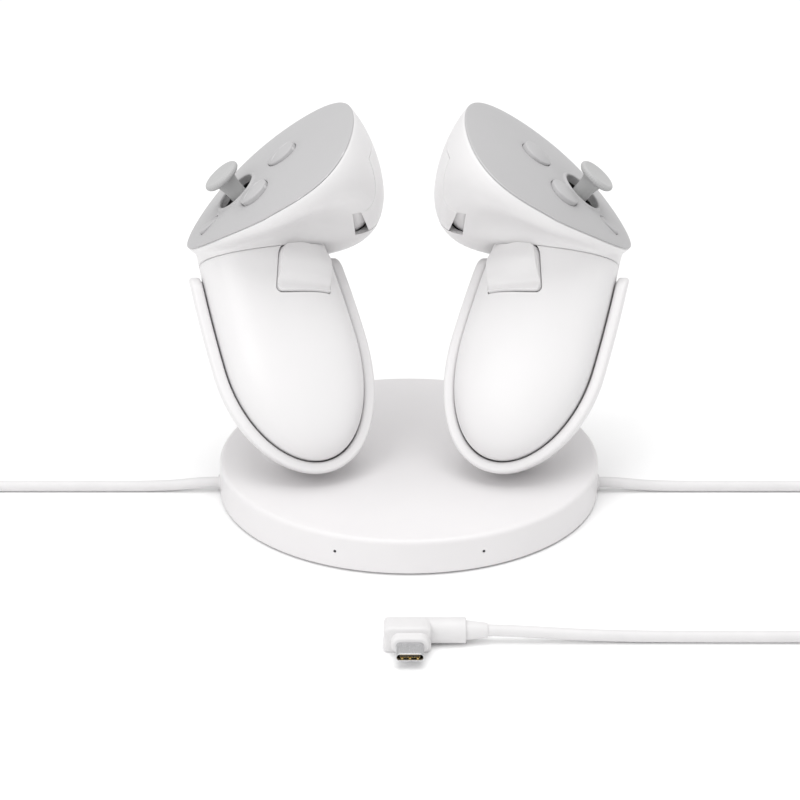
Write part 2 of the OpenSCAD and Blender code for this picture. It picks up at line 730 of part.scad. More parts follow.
module round_button(at, top) {
    r = button_d / 2;
    rise = dome_at(at) + button_rise;
    translate([at[0], at[1], 0]) {
        intersection() {
            translate([0, 0, top]) cylinder(r = r, h = rise - top);
            translate([0, 0, rise - 14]) sphere(r = 14);
        }
        translate([0, 0, top - flange_t]) cylinder(r = r + flange_w, h = flange_t);
        translate([0, 0, plunger_z]) cylinder(r = 1.5, h = top - plunger_z);
    }
}
module button_lower_left() { color("lightgray") at_face() round_button(lower_at, flange_top[0]); }
module button_upper_left() { color("lightgray") at_face() round_button(upper_at, flange_top[1]); }
module menu_button_left() {
    top = flange_top[2];
    color("lightgray") at_face() translate([menu_at[0], menu_at[1], 0]) {
        translate([0, 0, top]) oval(menu_l, menu_w, dome_at(menu_at) + 0.5 - top);
        translate([0, 0, top - flange_t]) oval(menu_l + 2 * flange_w, menu_w + 2 * flange_w, flange_t);
        translate([menu_stem, 0, plunger_z]) cylinder(r = 1, h = top - plunger_z);
    }
}
module controller_board_left() {
    color("seagreen") at_face() translate([0, 0, board_z - board_t]) {
        linear_extrude(board_t) egg_plate(board_inset);
        for (p = [lower_at, upper_at, menu_at + [menu_stem, 0]]) translate([p[0], p[1], board_t])
            cylinder(r = 2.2, h = switch_h);
    }
}
module battery_left() {
    color("slategray") at_handle() translate(cell_at) rotate([-90, 0, 0]) union() {
        cylinder(r = cell_r, h = cell_l - 1);
        cylinder(r = 2.7, h = cell_l);
    }
}
module inner_frame_left() {
    half = index_barrel / 2 + ear_gap;
    color("gainsboro") {
        difference() {
            union() {
                at_handle() union() {
                    translate([-8.5, 10, tray_z]) cube([17, tray_end + tray_t - 10, tray_t]);
                    translate([-17.6, 30, tray_z]) cube([35.2, 4, tray_t]);
                    translate([-8.5, tray_end, 0.5]) cube([17, tray_t, tray_z]);
                    translate([-8.5, tray_end, 0.5]) cube([21.5, 5.4, 1.2]);
                }
                at_grip() for (s = [-1, 1])
                    translate([s * (grip_barrel / 2 + ear_gap + ear_t / 2) - ear_t / 2, -1.7, -9.6])
                        cube([ear_t, 3.4, 11.2]);
            }
            at_grip() rotate([0, 90, 0]) cylinder(d = pin_d, h = far, center = true);
        }
        difference() {
            at_face() translate([0, index_at[1], 0]) {
                translate([8, -half - ear_t, board_z - board_t - 1.2]) cube([14, 2 * (half + ear_t), 1.2]);
                for (s = [-1, 1]) translate([18, s * (half + ear_t / 2) - ear_t / 2, index_at[2] - 2])
                    cube([11.5, ear_t, 3.7]);
            }
            at_index() rotate([90, 0, 0]) cylinder(d = pin_d, h = far, center = true);
        }
    }
}
module haptic_motor_left() {
    color("silver") at_face() translate([-4, 0, board_z - board_t - 8]) cylinder(r = 5, h = 8);
}
module haptic_motor_right() { mirror([1, 0, 0]) haptic_motor_left(); }
module face_plate_right() { mirror([1, 0, 0]) face_plate_left(); }
module head_shell_right() { mirror([1, 0, 0]) head_shell_left(); }
module handle_front_right() { mirror([1, 0, 0]) handle_front_left(); }
module handle_back_right() { mirror([1, 0, 0]) handle_back_left(); }
module charge_contacts_right() { mirror([1, 0, 0]) charge_contacts_left(); }
module index_trigger_right() { mirror([1, 0, 0]) index_trigger_left(); }
module grip_trigger_right() { mirror([1, 0, 0]) grip_trigger_left(); }
module trigger_pins_right() { mirror([1, 0, 0]) trigger_pins_left(); }
module thumbstick_right() { mirror([1, 0, 0]) thumbstick_left(); }
module stick_ring_right() { mirror([1, 0, 0]) stick_ring_left(); }
module stick_housing_right() { mirror([1, 0, 0]) stick_housing_left(); }
module button_lower_right() { mirror([1, 0, 0]) button_lower_left(); }
module button_upper_right() { mirror([1, 0, 0]) button_upper_left(); }
module menu_button_right() { mirror([1, 0, 0]) menu_button_left(); }
module controller_board_right() { mirror([1, 0, 0]) controller_board_left(); }
module battery_right() { mirror([1, 0, 0]) battery_left(); }
module inner_frame_right() { mirror([1, 0, 0]) inner_frame_left(); }

base_shell();
base_cover();
foot_pad();
ballast_plate();
dock_board();
status_lights();
cover_screws();
cradle_left();
cradle_right();
cradle_screws();
contact_blocks();
power_gland();
headset_gland();
power_cord();
power_coil();
power_tie();
power_plug_grip();
power_plug_shell();
headset_cord();
headset_coil();
headset_tie();
headset_plug_body();
headset_plug_shell();
headset_plug_tongue();
face_plate_left();
face_plate_right();
head_shell_left();
head_shell_right();
handle_front_left();
handle_front_right();
handle_back_left();
handle_back_right();
index_trigger_left();
index_trigger_right();
grip_trigger_left();
grip_trigger_right();
trigger_pins_left();
trigger_pins_right();
thumbstick_left();
thumbstick_right();
stick_ring_left();
stick_ring_right();
stick_housing_left();
stick_housing_right();
button_lower_left();
button_lower_right();
button_upper_left();
button_upper_right();
menu_button_left();
menu_button_right();
controller_board_left();
controller_board_right();
battery_left();
battery_right();
inner_frame_left();
inner_frame_right();
charge_contacts_left();
charge_contacts_right();
haptic_motor_left();
haptic_motor_right();
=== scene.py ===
"""Charging dock with a pair of hand controllers: the visual model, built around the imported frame.

Shapes are worked out in millimetres and become metres when a mesh is made. The left-hand piece of each pair
is built in place, and its right-hand twin is the mirror image across x = 0.
"""
import json
import logging
import math
from collections.abc import Callable, Sequence
from dataclasses import dataclass, field
from enum import Enum

import bmesh
import bpy
import numpy as np
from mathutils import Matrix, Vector
from mathutils.bvhtree import BVHTree
from mathutils.geometry import delaunay_2d_cdt

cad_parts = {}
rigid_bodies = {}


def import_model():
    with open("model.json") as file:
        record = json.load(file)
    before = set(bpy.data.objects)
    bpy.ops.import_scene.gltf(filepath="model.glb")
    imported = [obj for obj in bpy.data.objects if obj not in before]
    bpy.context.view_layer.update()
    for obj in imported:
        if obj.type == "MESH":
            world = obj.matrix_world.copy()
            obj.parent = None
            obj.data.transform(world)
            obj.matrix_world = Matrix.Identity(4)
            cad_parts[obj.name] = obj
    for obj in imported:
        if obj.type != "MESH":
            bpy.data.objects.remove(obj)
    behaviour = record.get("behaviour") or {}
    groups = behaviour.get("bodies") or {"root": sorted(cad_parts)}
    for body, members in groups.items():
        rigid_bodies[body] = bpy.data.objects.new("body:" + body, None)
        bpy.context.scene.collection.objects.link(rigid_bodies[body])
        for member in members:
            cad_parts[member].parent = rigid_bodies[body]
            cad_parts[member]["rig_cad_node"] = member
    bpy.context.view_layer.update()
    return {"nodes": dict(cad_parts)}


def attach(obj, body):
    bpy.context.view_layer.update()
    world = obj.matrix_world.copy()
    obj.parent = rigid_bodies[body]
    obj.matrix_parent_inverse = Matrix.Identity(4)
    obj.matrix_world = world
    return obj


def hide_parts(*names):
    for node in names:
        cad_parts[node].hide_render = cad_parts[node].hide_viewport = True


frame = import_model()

LOG = logging.getLogger("dock")
MM = 0.001
Points = np.ndarray


# ----- Frames -----
def turn_about(axis: str, degrees: float) -> Points:
    """Gives the matrix of a turn about a world axis.

    Args:
        axis: "x", "y" or "z".
        degrees: how far to turn.

    Returns:
        A 3 by 3 matrix.
    """
    c, s = math.cos(math.radians(degrees)), math.sin(math.radians(degrees))
    rows = {
        "x": [[1, 0, 0], [0, c, -s], [0, s, c]],
        "y": [[c, 0, s], [0, 1, 0], [-s, 0, c]],
        "z": [[c, -s, 0], [s, c, 0], [0, 0, 1]],
    }
    return np.array(rows[axis], float)


@dataclass(frozen=True)
class Place:
    """A rigid frame: where its origin is, in millimetres, and how it is turned."""

    at: Points
    turn: Points

    def out(self, points: Points) -> Points:
        """Takes points of this frame to the row frame."""
        return self.at + np.asarray(points, float) @ self.turn.T

    def back(self, points: Points) -> Points:
        """Takes points of the row frame into this frame."""
        return (np.asarray(points, float) - self.at) @ self.turn

    def then(self, at: Sequence[float], turn: Points | None = None) -> "Place":
        """Gives the frame that stands at a point of this one, turned further if a turn is given."""
        return Place(self.out(np.array(at, float)), self.turn if turn is None else self.turn @ turn)

    @staticmethod
    def of(at: Sequence[float], turn: Points | None = None) -> "Place":
        """Makes the frame that stands at a point of the row frame, turned if a turn is given."""
        return Place(np.array(at, float), np.eye(3) if turn is None else turn)


HANDLE = Place.of([-27.6, -23.8, 21.2], turn_about("z", 15) @ turn_about("x", 54) @ turn_about("z", 8))
FACE = Place(HANDLE.out(np.array([-1.5, 69.0, 0.0])) + [2.4, 2.5, 24.8],
             turn_about("y", -39.5) @ turn_about("x", 3.6))
INDEX = FACE.then([27.5, 1, -11], turn_about("y", 24.8))
GRIP = HANDLE.then([9.2, 65, 6.8], turn_about("y", 26.6) @ turn_about("z", -18))


class Side(Enum):
    """The hand that a controller is for."""

    LEFT = "left"
    RIGHT = "right"

    @property
    def sign(self) -> int:
        """Minus one where the piece is a mirror image."""
        return 1 if self is Side.LEFT else -1


# ----- Forms -----
def signed_power(value: Points, exponent: float) -> Points:
    """Raises sizes to a power and keeps their signs."""
    return np.sign(value) * np.abs(value) ** exponent


def smooth_step(t: Points) -> Points:
    """Eases from 0 to 1, level at both ends."""
    t = np.clip(t, 0, 1)
    return t * t * (3 - 2 * t)


@dataclass
class Form:
    """Points in millimetres and the faces over them."""

    points: Points
    faces: list[tuple[int, ...]]

    @staticmethod
    def grid(rows: Points, around: bool = False, caps: bool = False) -> "Form":
        """Covers rows of points with quads.

        Args:
            rows: an array of rows, columns and three coordinates.
            around: whether the last column joins the first.
            caps: whether the first and the last row are closed to their middles.

        Returns:
            The covered form.
        """
        count, width = rows.shape[:2]
        points = rows.reshape(-1, 3)
        last = width if around else width - 1
        faces = [(j * width + i, j * width + (i + 1) % width, (j + 1) * width + (i + 1) % width,
                  (j + 1) * width + i) for j in range(count - 1) for i in range(last)]
        if caps:
            points = np.vstack([points, rows[0].mean(0), rows[-1].mean(0)])
            low, high, base = len(points) - 2, len(points) - 1, (count - 1) * width
            faces += [(low, (i + 1) % width, i) for i in range(width)]
            faces += [(high, base + i, base + (i + 1) % width) for i in range(width)]
        return Form(points, faces)

    @staticmethod
    def taken(thing: bpy.types.Object) -> "Form":
        """Takes the form out of an object, which is removed."""
        form = Form(np.array([v.co[:] for v in thing.data.vertices]) / MM,
                    [tuple(p.vertices) for p in thing.data.polygons])
        bpy.data.objects.remove(thing)
        return form

    def joined(self, *others: "Form") -> "Form":
        """Puts other forms beside this one, in one mesh."""
        points, faces = self.points, list(self.faces)
        for other in others:
            faces += [tuple(k + len(points) for k in f) for f in other.faces]
            points = np.vstack([points, other.points])
        return Form(points, faces)

    def placed(self, place: Place) -> "Form":
        """Takes the form out of a frame into the row frame."""
        return Form(place.out(self.points), self.faces)

    def mirrored(self, side: Side) -> "Form":
        """Gives the twin of a left-hand form for the given side."""
        if side is Side.LEFT:
            return self
        return Form(self.points * [-1, 1, 1], [tuple(reversed(f)) for f in self.faces])

    def mesh(self, name: str, heart: Points | None = None) -> bpy.types.Object:
        """Makes the Blender object, with its points merged and its faces turned outwards.

        Args:
            name: the object's name.
            heart: a point inside an open sheet, in millimetres, which its faces look away from.

        Returns:
            The new object, linked to the scene.
        """
        data = bpy.data.meshes.new(name)
        data.from_pydata((self.points * MM).tolist(), [], self.faces)
        shape = bmesh.new()
        shape.from_mesh(data)
        bmesh.ops.remove_doubles(shape, verts=shape.verts, dist=2e-6)
        bmesh.ops.recalc_face_normals(shape, faces=shape.faces)
        if heart is not None:
            middle = Vector(heart * MM)
            if sum(f.normal.dot(f.calc_center_median() - middle) * f.calc_area() for f in shape.faces) < 0:
                bmesh.ops.reverse_faces(shape, faces=shape.faces)
        shape.to_mesh(data)
        shape.free()
        thing = bpy.data.objects.new(name, data)
        bpy.context.scene.collection.objects.link(thing)
        return thing


def revolve(profile: Sequence[tuple[float, float]], count: int = 96) -> Form:
    """Turns a profile about its own z axis.

    Args:
        profile: radius and height of each point, from the axis round to the axis again.
        count: how many steps go round.

    Returns:
        A closed form when both ends lie on the axis.
    """
    angle = np.linspace(0, 2 * math.pi, count, endpoint=False)
    rows = np.array([[[r * math.cos(a), r * math.sin(a), z] for a in angle] for r, z in profile])
    return Form.grid(rows, around=True)


def rounded(corners: Sequence[tuple[float, float, float]], steps: int = 5) -> list[tuple[float, float]]:
    """Rounds the corners of an open profile.

    Args:
        corners: each corner's two coordinates and the radius of its rounding.
        steps: how many points make one rounding.

    Returns:
        The profile's points.
    """
    done: list[tuple[float, float]] = []
    for k, (x, y, radius) in enumerate(corners):
        if k in (0, len(corners) - 1) or radius <= 0:
            done.append((x, y))
            continue
        here = np.array([x, y])
        before = np.array(corners[k - 1][:2]) - here
        after = np.array(corners[k + 1][:2]) - here
        reach = min(radius, 0.49 * np.linalg.norm(before), 0.49 * np.linalg.norm(after))
        a = here + before / np.linalg.norm(before) * reach
        b = here + after / np.linalg.norm(after) * reach
        for t in np.linspace(0, 1, steps):
            p = (1 - t) ** 2 * a + 2 * t * (1 - t) * here + t * t * b
            done.append((float(p[0]), float(p[1])))
    return done


def oval_outline(length: float, width: float, count: int = 48) -> Points:
    """Gives a stadium's outline, anticlockwise, about its middle."""
    half = (length - width) / 2
    angle = np.linspace(-math.pi / 2, math.pi / 2, count // 2)
    right = np.column_stack([half + width / 2 * np.cos(angle), width / 2 * np.sin(angle)])
    return np.vstack([right, -right])


def drawn_oval(length: float, width: float, count: int = 64) -> Callable[[float], Points]:
    """Gives a function that gives a stadium's outline, drawn in by a width."""
    return lambda inset: oval_outline(length - 2 * inset, width - 2 * inset, count)


def stacked(outline: Callable[[float], Points], levels: Sequence[tuple[float, float]]) -> Form:
    """Builds a closed form from one outline that is drawn in and lifted, level by level.

    Args:
        outline: gives the outline's points for how far it is drawn in.
        levels: how far the outline is drawn in and its height, from the bottom to the top.

    Returns:
        The closed form.
    """
    rows = np.array([[[x, y, z] for x, y in outline(inset)] for inset, z in levels])
    return Form.grid(rows, around=True, caps=True)


# ----- Work on finished objects -----
def settle(thing: bpy.types.Object) -> bpy.types.Object:
    """Applies an object's modifiers and leaves it with none."""
    view = bpy.context.evaluated_depsgraph_get()
    done = bpy.data.meshes.new_from_object(thing.evaluated_get(view))
    thing.modifiers.clear()
    old, thing.data = thing.data, done
    bpy.data.meshes.remove(old)
    return thing


def carve(thing: bpy.types.Object, operation: str, *tools: Form) -> bpy.types.Object:
    """Cuts an object with closed forms.

    Args:
        thing: the object to change.
        operation: DIFFERENCE, INTERSECT or UNION.
        tools: the forms, used one after another.

    Returns:
        The same object.
    """
    for tool in tools:
        cutter = tool.mesh("cutter")
        step = thing.modifiers.new("cut", "BOOLEAN")
        step.object, step.operation, step.solver = cutter, operation, "EXACT"
        settle(thing)
        bpy.data.objects.remove(cutter)
    return thing


def soften(thing: bpy.types.Object, width: float, corner: float = 40, steps: int = 2) -> bpy.types.Object:
    """Rounds an object's sharp edges a little.

    Args:
        thing: the object to change.
        width: the rounding's width in millimetres.
        corner: the least angle, in degrees, that counts as sharp.
        steps: how many faces the rounding is made of.

    Returns:
        The same object.
    """
    step = thing.modifiers.new("edge", "BEVEL")
    step.width, step.segments = width * MM, steps
    step.limit_method, step.angle_limit = "ANGLE", math.radians(corner)
    step.use_clamp_overlap = True
    return settle(thing)


def smooth(thing: bpy.types.Object, corner: float = 32) -> bpy.types.Object:
    """Shades an object smooth, but for edges sharper than a corner angle in degrees."""
    thing.data.shade_smooth()
    thing.data.set_sharp_from_angle(angle=math.radians(corner))
    return thing


# ----- Finishes -----
Colour = tuple[float, float, float]


class Value:
    """A socket in a material's node tree, with arithmetic on it."""

    def __init__(self, shader: "Shader", socket: bpy.types.NodeSocket) -> None:
        """Wraps a socket of a shader."""
        self.shader = shader
        self.socket = socket

    def _math(self, operation: str, first: "Value | float", second: "Value | float") -> "Value":
        """Adds one Math node."""
        return self.shader.node("ShaderNodeMath", {"operation": operation}, {0: first, 1: second})

    def __add__(self, other: "Value | float") -> "Value":
        """Gives self + other."""
        return self._math("ADD", self, other)

    __radd__ = __add__

    def __sub__(self, other: "Value | float") -> "Value":
        """Gives self - other."""
        return self._math("SUBTRACT", self, other)

    def __rsub__(self, other: "Value | float") -> "Value":
        """Gives other - self."""
        return self._math("SUBTRACT", other, self)

    def __mul__(self, other: "Value | float") -> "Value":
        """Gives self * other."""
        return self._math("MULTIPLY", self, other)

    __rmul__ = __mul__

    def ease(self, low: float, high: float) -> "Value":
        """Rises smoothly from 0 at low to 1 at high."""
        return self.shader.node("ShaderNodeMapRange", {"interpolation_type": "SMOOTHSTEP"},
                                {"Value": self, "From Min": low, "From Max": high})


class Shader:
    """The node tree of one material."""

    def __init__(self, name: str) -> None:
        """Starts a material with one Principled surface."""
        self.material = bpy.data.materials.new(f"{name}_finish")
        self.material.use_nodes = True
        self.tree = self.material.node_tree
        self.tree.nodes.clear()
        self.surface = self.tree.nodes.new("ShaderNodeBsdfPrincipled")
        end = self.tree.nodes.new("ShaderNodeOutputMaterial")
        self.tree.links.new(self.surface.outputs[0], end.inputs["Surface"])

    def put(self, socket: bpy.types.NodeSocket, value: "Value | float | Sequence[float]") -> None:
        """Links a value to a socket, or sets a plain number or colour on it."""
        if isinstance(value, Value):
            self.tree.links.new(value.socket, socket)
        elif isinstance(value, (int, float)):
            socket.default_value = float(value)
        else:
            wanted = len(socket.default_value)
            socket.default_value = (list(value) + [1.0])[:wanted]

    def node(self, kind: str, settings: dict | None = None, sockets: dict | None = None,
             output: int | str = 0) -> Value:
        """Adds any node.

        Args:
            kind: the node's type.
            settings: its settings.
            sockets: values or links of its input sockets.
            output: which output is wanted.

        Returns:
            That output.
        """
        made = self.tree.nodes.new(kind)
        for key, value in (settings or {}).items():
            setattr(made, key, value)
        for key, value in (sockets or {}).items():
            self.put(made.inputs[key], value)
        return Value(self, made.outputs[output])

    def where(self, stretch: Sequence[float] = (1, 1, 1)) -> Value:
        """Gives the object's own coordinates, stretched along each axis."""
        spot = self.node("ShaderNodeTexCoord", output="Object")
        return self.node("ShaderNodeVectorMath", {"operation": "MULTIPLY"}, {0: spot, 1: stretch})

    def noise(self, size: float, detail: float = 2, stretch: Sequence[float] = (1, 1, 1)) -> Value:
        """Gives soft random blotches.

        Args:
            size: how large a blotch is, in millimetres.
            detail: how many finer layers lie in it.
            stretch: how much faster it changes along each axis.

        Returns:
            A value from 0 to 1.
        """
        return self.node("ShaderNodeTexNoise", {}, {
            "Vector": self.where(stretch), "Scale": 1 / (size * MM), "Detail": detail, "Roughness": 0.55})

    def mix(self, share: "Value | float", first: "Value | Colour", second: "Value | Colour") -> Value:
        """Mixes two colours."""
        return self.node("ShaderNodeMix", {"data_type": "RGBA"}, {0: share, 6: first, 7: second}, output=2)

    def edges(self) -> Value:
        """Gives how far a spot stands out, above a half on edges and below it in grooves."""
        return self.node("ShaderNodeNewGeometry", output="Pointiness")

    def relief(self, height: Value, depth: float) -> Value:
        """Turns heights from 0 to 1 into a relief that is so many millimetres deep."""
        return self.node("ShaderNodeBump", {}, {"Height": height, "Distance": depth * MM, "Strength": 1.0})

    def wear(self, **sockets: "Value | float | Sequence[float]") -> bpy.types.Material:
        """Feeds the surface's sockets, whose names use _ for a space, and gives the material."""
        for key, value in sockets.items():
            self.put(self.surface.inputs[key.replace("_", " ")], value)
        return self.material


def scaled(colour: Colour, share: float) -> Colour:
    """Makes a colour lighter or darker."""
    return tuple(min(1.0, c * share) for c in colour)


@dataclass(frozen=True)
class Moulded:
    """A moulded plastic or rubber: a fine spark-eroded grain, faint flow marks, edges lightened for wear and
    as a painted highlight, and crevices darkened with dirt and painted shade.
    """

    name: str
    colour: Colour
    roughness: float = 0.42
    grain: float = 0.35
    depth: float = 0.012
    coat: float = 0.0
    blotches: float = 0.02
    sheen: float = 0.0
    # How much lighter convex edges are painted, and how strongly: wear, and a painted highlight where set
    # high.
    rim: float = 1.06
    rim_share: float = 0.25

    def material(self) -> bpy.types.Material:
        """Builds the material."""
        s = Shader(self.name)
        flow = s.noise(22, 3, (1, 1, 0.5))
        hand = s.noise(6, 4)
        grain = s.noise(self.grain, 1)
        worn_and_lit_edge = s.edges().ease(0.52, 0.62)
        crevice_dirt_and_shade = 1 - s.edges().ease(0.40, 0.49)
        body = s.mix(flow, scaled(self.colour, 1 - self.blotches), scaled(self.colour, 1 + self.blotches))
        # Crevices are darkened towards 0.62 of the colour: dirt and painted shade.
        body = s.mix(crevice_dirt_and_shade * 0.35, body, scaled(self.colour, 0.62))
        # Convex edges are lightened towards rim times the colour: wear, and a painted highlight.
        body = s.mix(worn_and_lit_edge * self.rim_share, body, scaled(self.colour, self.rim))
        rough = self.roughness + (hand - 0.5) * 0.10 + (grain - 0.5) * 0.06 - worn_and_lit_edge * 0.05
        return s.wear(Base_Color=body, Roughness=rough, Coat_Weight=self.coat, Coat_Roughness=0.22,
                      Sheen_Weight=self.sheen, IOR=1.46, Normal=s.relief(grain + hand * 0.3, self.depth))


@dataclass(frozen=True)
class Plated:
    """A plated or drawn metal: fine draw lines along one axis, and corners darkened with dirt and painted
    shade.
    """

    name: str
    colour: Colour
    roughness: float = 0.24
    along: tuple[float, float, float] = (1, 0.06, 1)
    corner_dirt_and_shade: float = 0.75

    def material(self) -> bpy.types.Material:
        """Builds the material."""
        s = Shader(self.name)
        lines = s.noise(0.18, 3, self.along)
        cloud = s.noise(3.0, 4)
        crevice_dirt_and_shade = 1 - s.edges().ease(0.38, 0.49)
        body = s.mix(cloud * 0.5, self.colour, scaled(self.colour, 0.88))
        # Corners are darkened towards a fraction of the colour: dirt and painted shade.
        body = s.mix(crevice_dirt_and_shade * 0.6, body, scaled(self.colour, self.corner_dirt_and_shade * 0.6))
        rough = self.roughness + (lines - 0.5) * 0.22 + (cloud - 0.5) * 0.08
        return s.wear(Base_Color=body, Roughness=rough, Metallic=1.0, Normal=s.relief(lines, 0.006))


@dataclass(frozen=True)
class Jacket:
    """A cable's jacket: matt, with the faint lengthwise drag of its extrusion and a little dust."""

    name: str
    colour: Colour

    def material(self) -> bpy.types.Material:
        """Builds the material."""
        s = Shader(self.name)
        dust = s.noise(9, 5)
        drag = s.noise(0.5, 2, (0.15, 0.15, 1))
        body = s.mix(dust.ease(0.35, 0.75), self.colour, scaled(self.colour, 0.955))
        return s.wear(Base_Color=body, Roughness=0.46 + (dust - 0.5) * 0.16, IOR=1.45,
                      Normal=s.relief(drag, 0.010))


@dataclass(frozen=True)
class CircuitBoard:
    """A printed board: green mask over faint copper tracks, with bare pads."""

    name: str
    colour: Colour = (0.02, 0.12, 0.06)

    def material(self) -> bpy.types.Material:
        """Builds the material."""
        s = Shader(self.name)
        cells = s.node("ShaderNodeTexVoronoi", {"feature": "DISTANCE_TO_EDGE"}, {
                       "Vector": s.where(), "Scale": 1 / (2.2 * MM), "Randomness": 0.35})
        track = 1 - cells.ease(0.05, 0.09)
        dots = s.node("ShaderNodeTexVoronoi", {"feature": "F1"},
                      {"Vector": s.where(), "Scale": 1 / (3.1 * MM), "Randomness": 0.2})
        pad = 1 - dots.ease(0.14, 0.17)
        mask = s.mix(s.noise(5, 3), scaled(self.colour, 0.85), scaled(self.colour, 1.2))
        body = s.mix(track * 0.55, mask, (0.05, 0.24, 0.11))
        body = s.mix(pad, body, (0.62, 0.48, 0.2))
        return s.wear(Base_Color=body, Roughness=0.34 - pad * 0.08, Metallic=pad,
                      Normal=s.relief(track * 0.5 + pad, 0.03))


@dataclass(frozen=True)
class Sleeve:
    """A cell's shrink sleeve: glossy film with faint wrinkles and a lap line."""

    name: str
    colour: Colour

    def material(self) -> bpy.types.Material:
        """Builds the material."""
        s = Shader(self.name)
        wrinkles = s.noise(1.6, 4, (1, 0.3, 1))
        lap = s.node("ShaderNodeTexWave", {"wave_type": "BANDS", "bands_direction": "Z"},
                     {"Vector": s.where(), "Scale": 12.0, "Distortion": 0.4})
        body = s.mix(lap.ease(0.97, 1.0), self.colour, scaled(self.colour, 0.7))
        return s.wear(Base_Color=body, Roughness=0.22 + wrinkles * 0.16, Normal=s.relief(wrinkles, 0.05))


@dataclass(frozen=True)
class Paper:
    """The floor: an even, matt, pale sheet."""

    name: str = "floor_sheet"
    colour: Colour = (0.95, 0.95, 0.95)

    def material(self) -> bpy.types.Material:
        """Builds the material."""
        s = Shader(self.name)
        body = s.mix(s.noise(400, 2), scaled(self.colour, 0.995), self.colour)
        return s.wear(Base_Color=body, Roughness=0.9, Specular_IOR_Level=0.1)


class Finish(Enum):
    """The finishes of this dock, named like the record's slots."""

    white_shell = Moulded("white_shell", (0.765, 0.755, 0.758), 0.38)
    dock_shell = Moulded("dock_shell", (0.745, 0.73, 0.735), 0.42)
    # The face's raised lips and button edges are lightened strongly: a painted highlight.
    face_grey = Moulded("face_grey", (0.46, 0.455, 0.46), 0.42, 0.28, 0.006, rim=1.3, rim_share=0.9)
    stick_grey = Moulded("stick_grey", (0.44, 0.44, 0.44), 0.55, 0.30, 0.02, sheen=0.2)
    cord_white = Jacket("cord_white", (0.71, 0.70, 0.703))
    pad_rubber = Moulded("pad_rubber", (0.33, 0.33, 0.34), 0.72, 0.5, 0.03, blotches=0.06)
    steel = Plated("steel", (0.62, 0.62, 0.63))
    gold_contact = Plated("gold_contact", (0.83, 0.62, 0.26), 0.18)
    board_green = CircuitBoard("board_green")
    dark_plastic = Moulded("dark_plastic", (0.035, 0.035, 0.038), 0.38, 0.3, 0.01, blotches=0.1)
    cell_sleeve = Sleeve("cell_sleeve", (0.16, 0.19, 0.23))
    frame_plastic = Moulded("frame_plastic", (0.50, 0.50, 0.49), 0.5, 0.4, 0.02)

    def dress(self, thing: bpy.types.Object) -> bpy.types.Object:
        """Gives an object this finish."""
        made = bpy.data.materials.get(f"{self.value.name}_finish") or self.value.material()
        thing.data.materials.clear()
        thing.data.materials.append(made)
        "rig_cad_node" not in thing
        return thing


def mount(thing: bpy.types.Object, finish: Finish, body: str, *nodes: str) -> bpy.types.Object:
    """Finishes a piece, sets it on its body and hides the CAD nodes that it stands for.

    Args:
        thing: the piece.
        finish: its finish.
        body: the body that it rides on.
        nodes: the CAD nodes that it stands for.

    Returns:
        The same piece.
    """
    finish.dress(thing)
    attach(thing, body)
    if nodes:
        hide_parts(*nodes)
    faces = len(getattr(thing.data, "polygons", []))
    LOG.info("%s on %s: %d faces, %s", thing.name, body, faces, finish.name)
    return thing


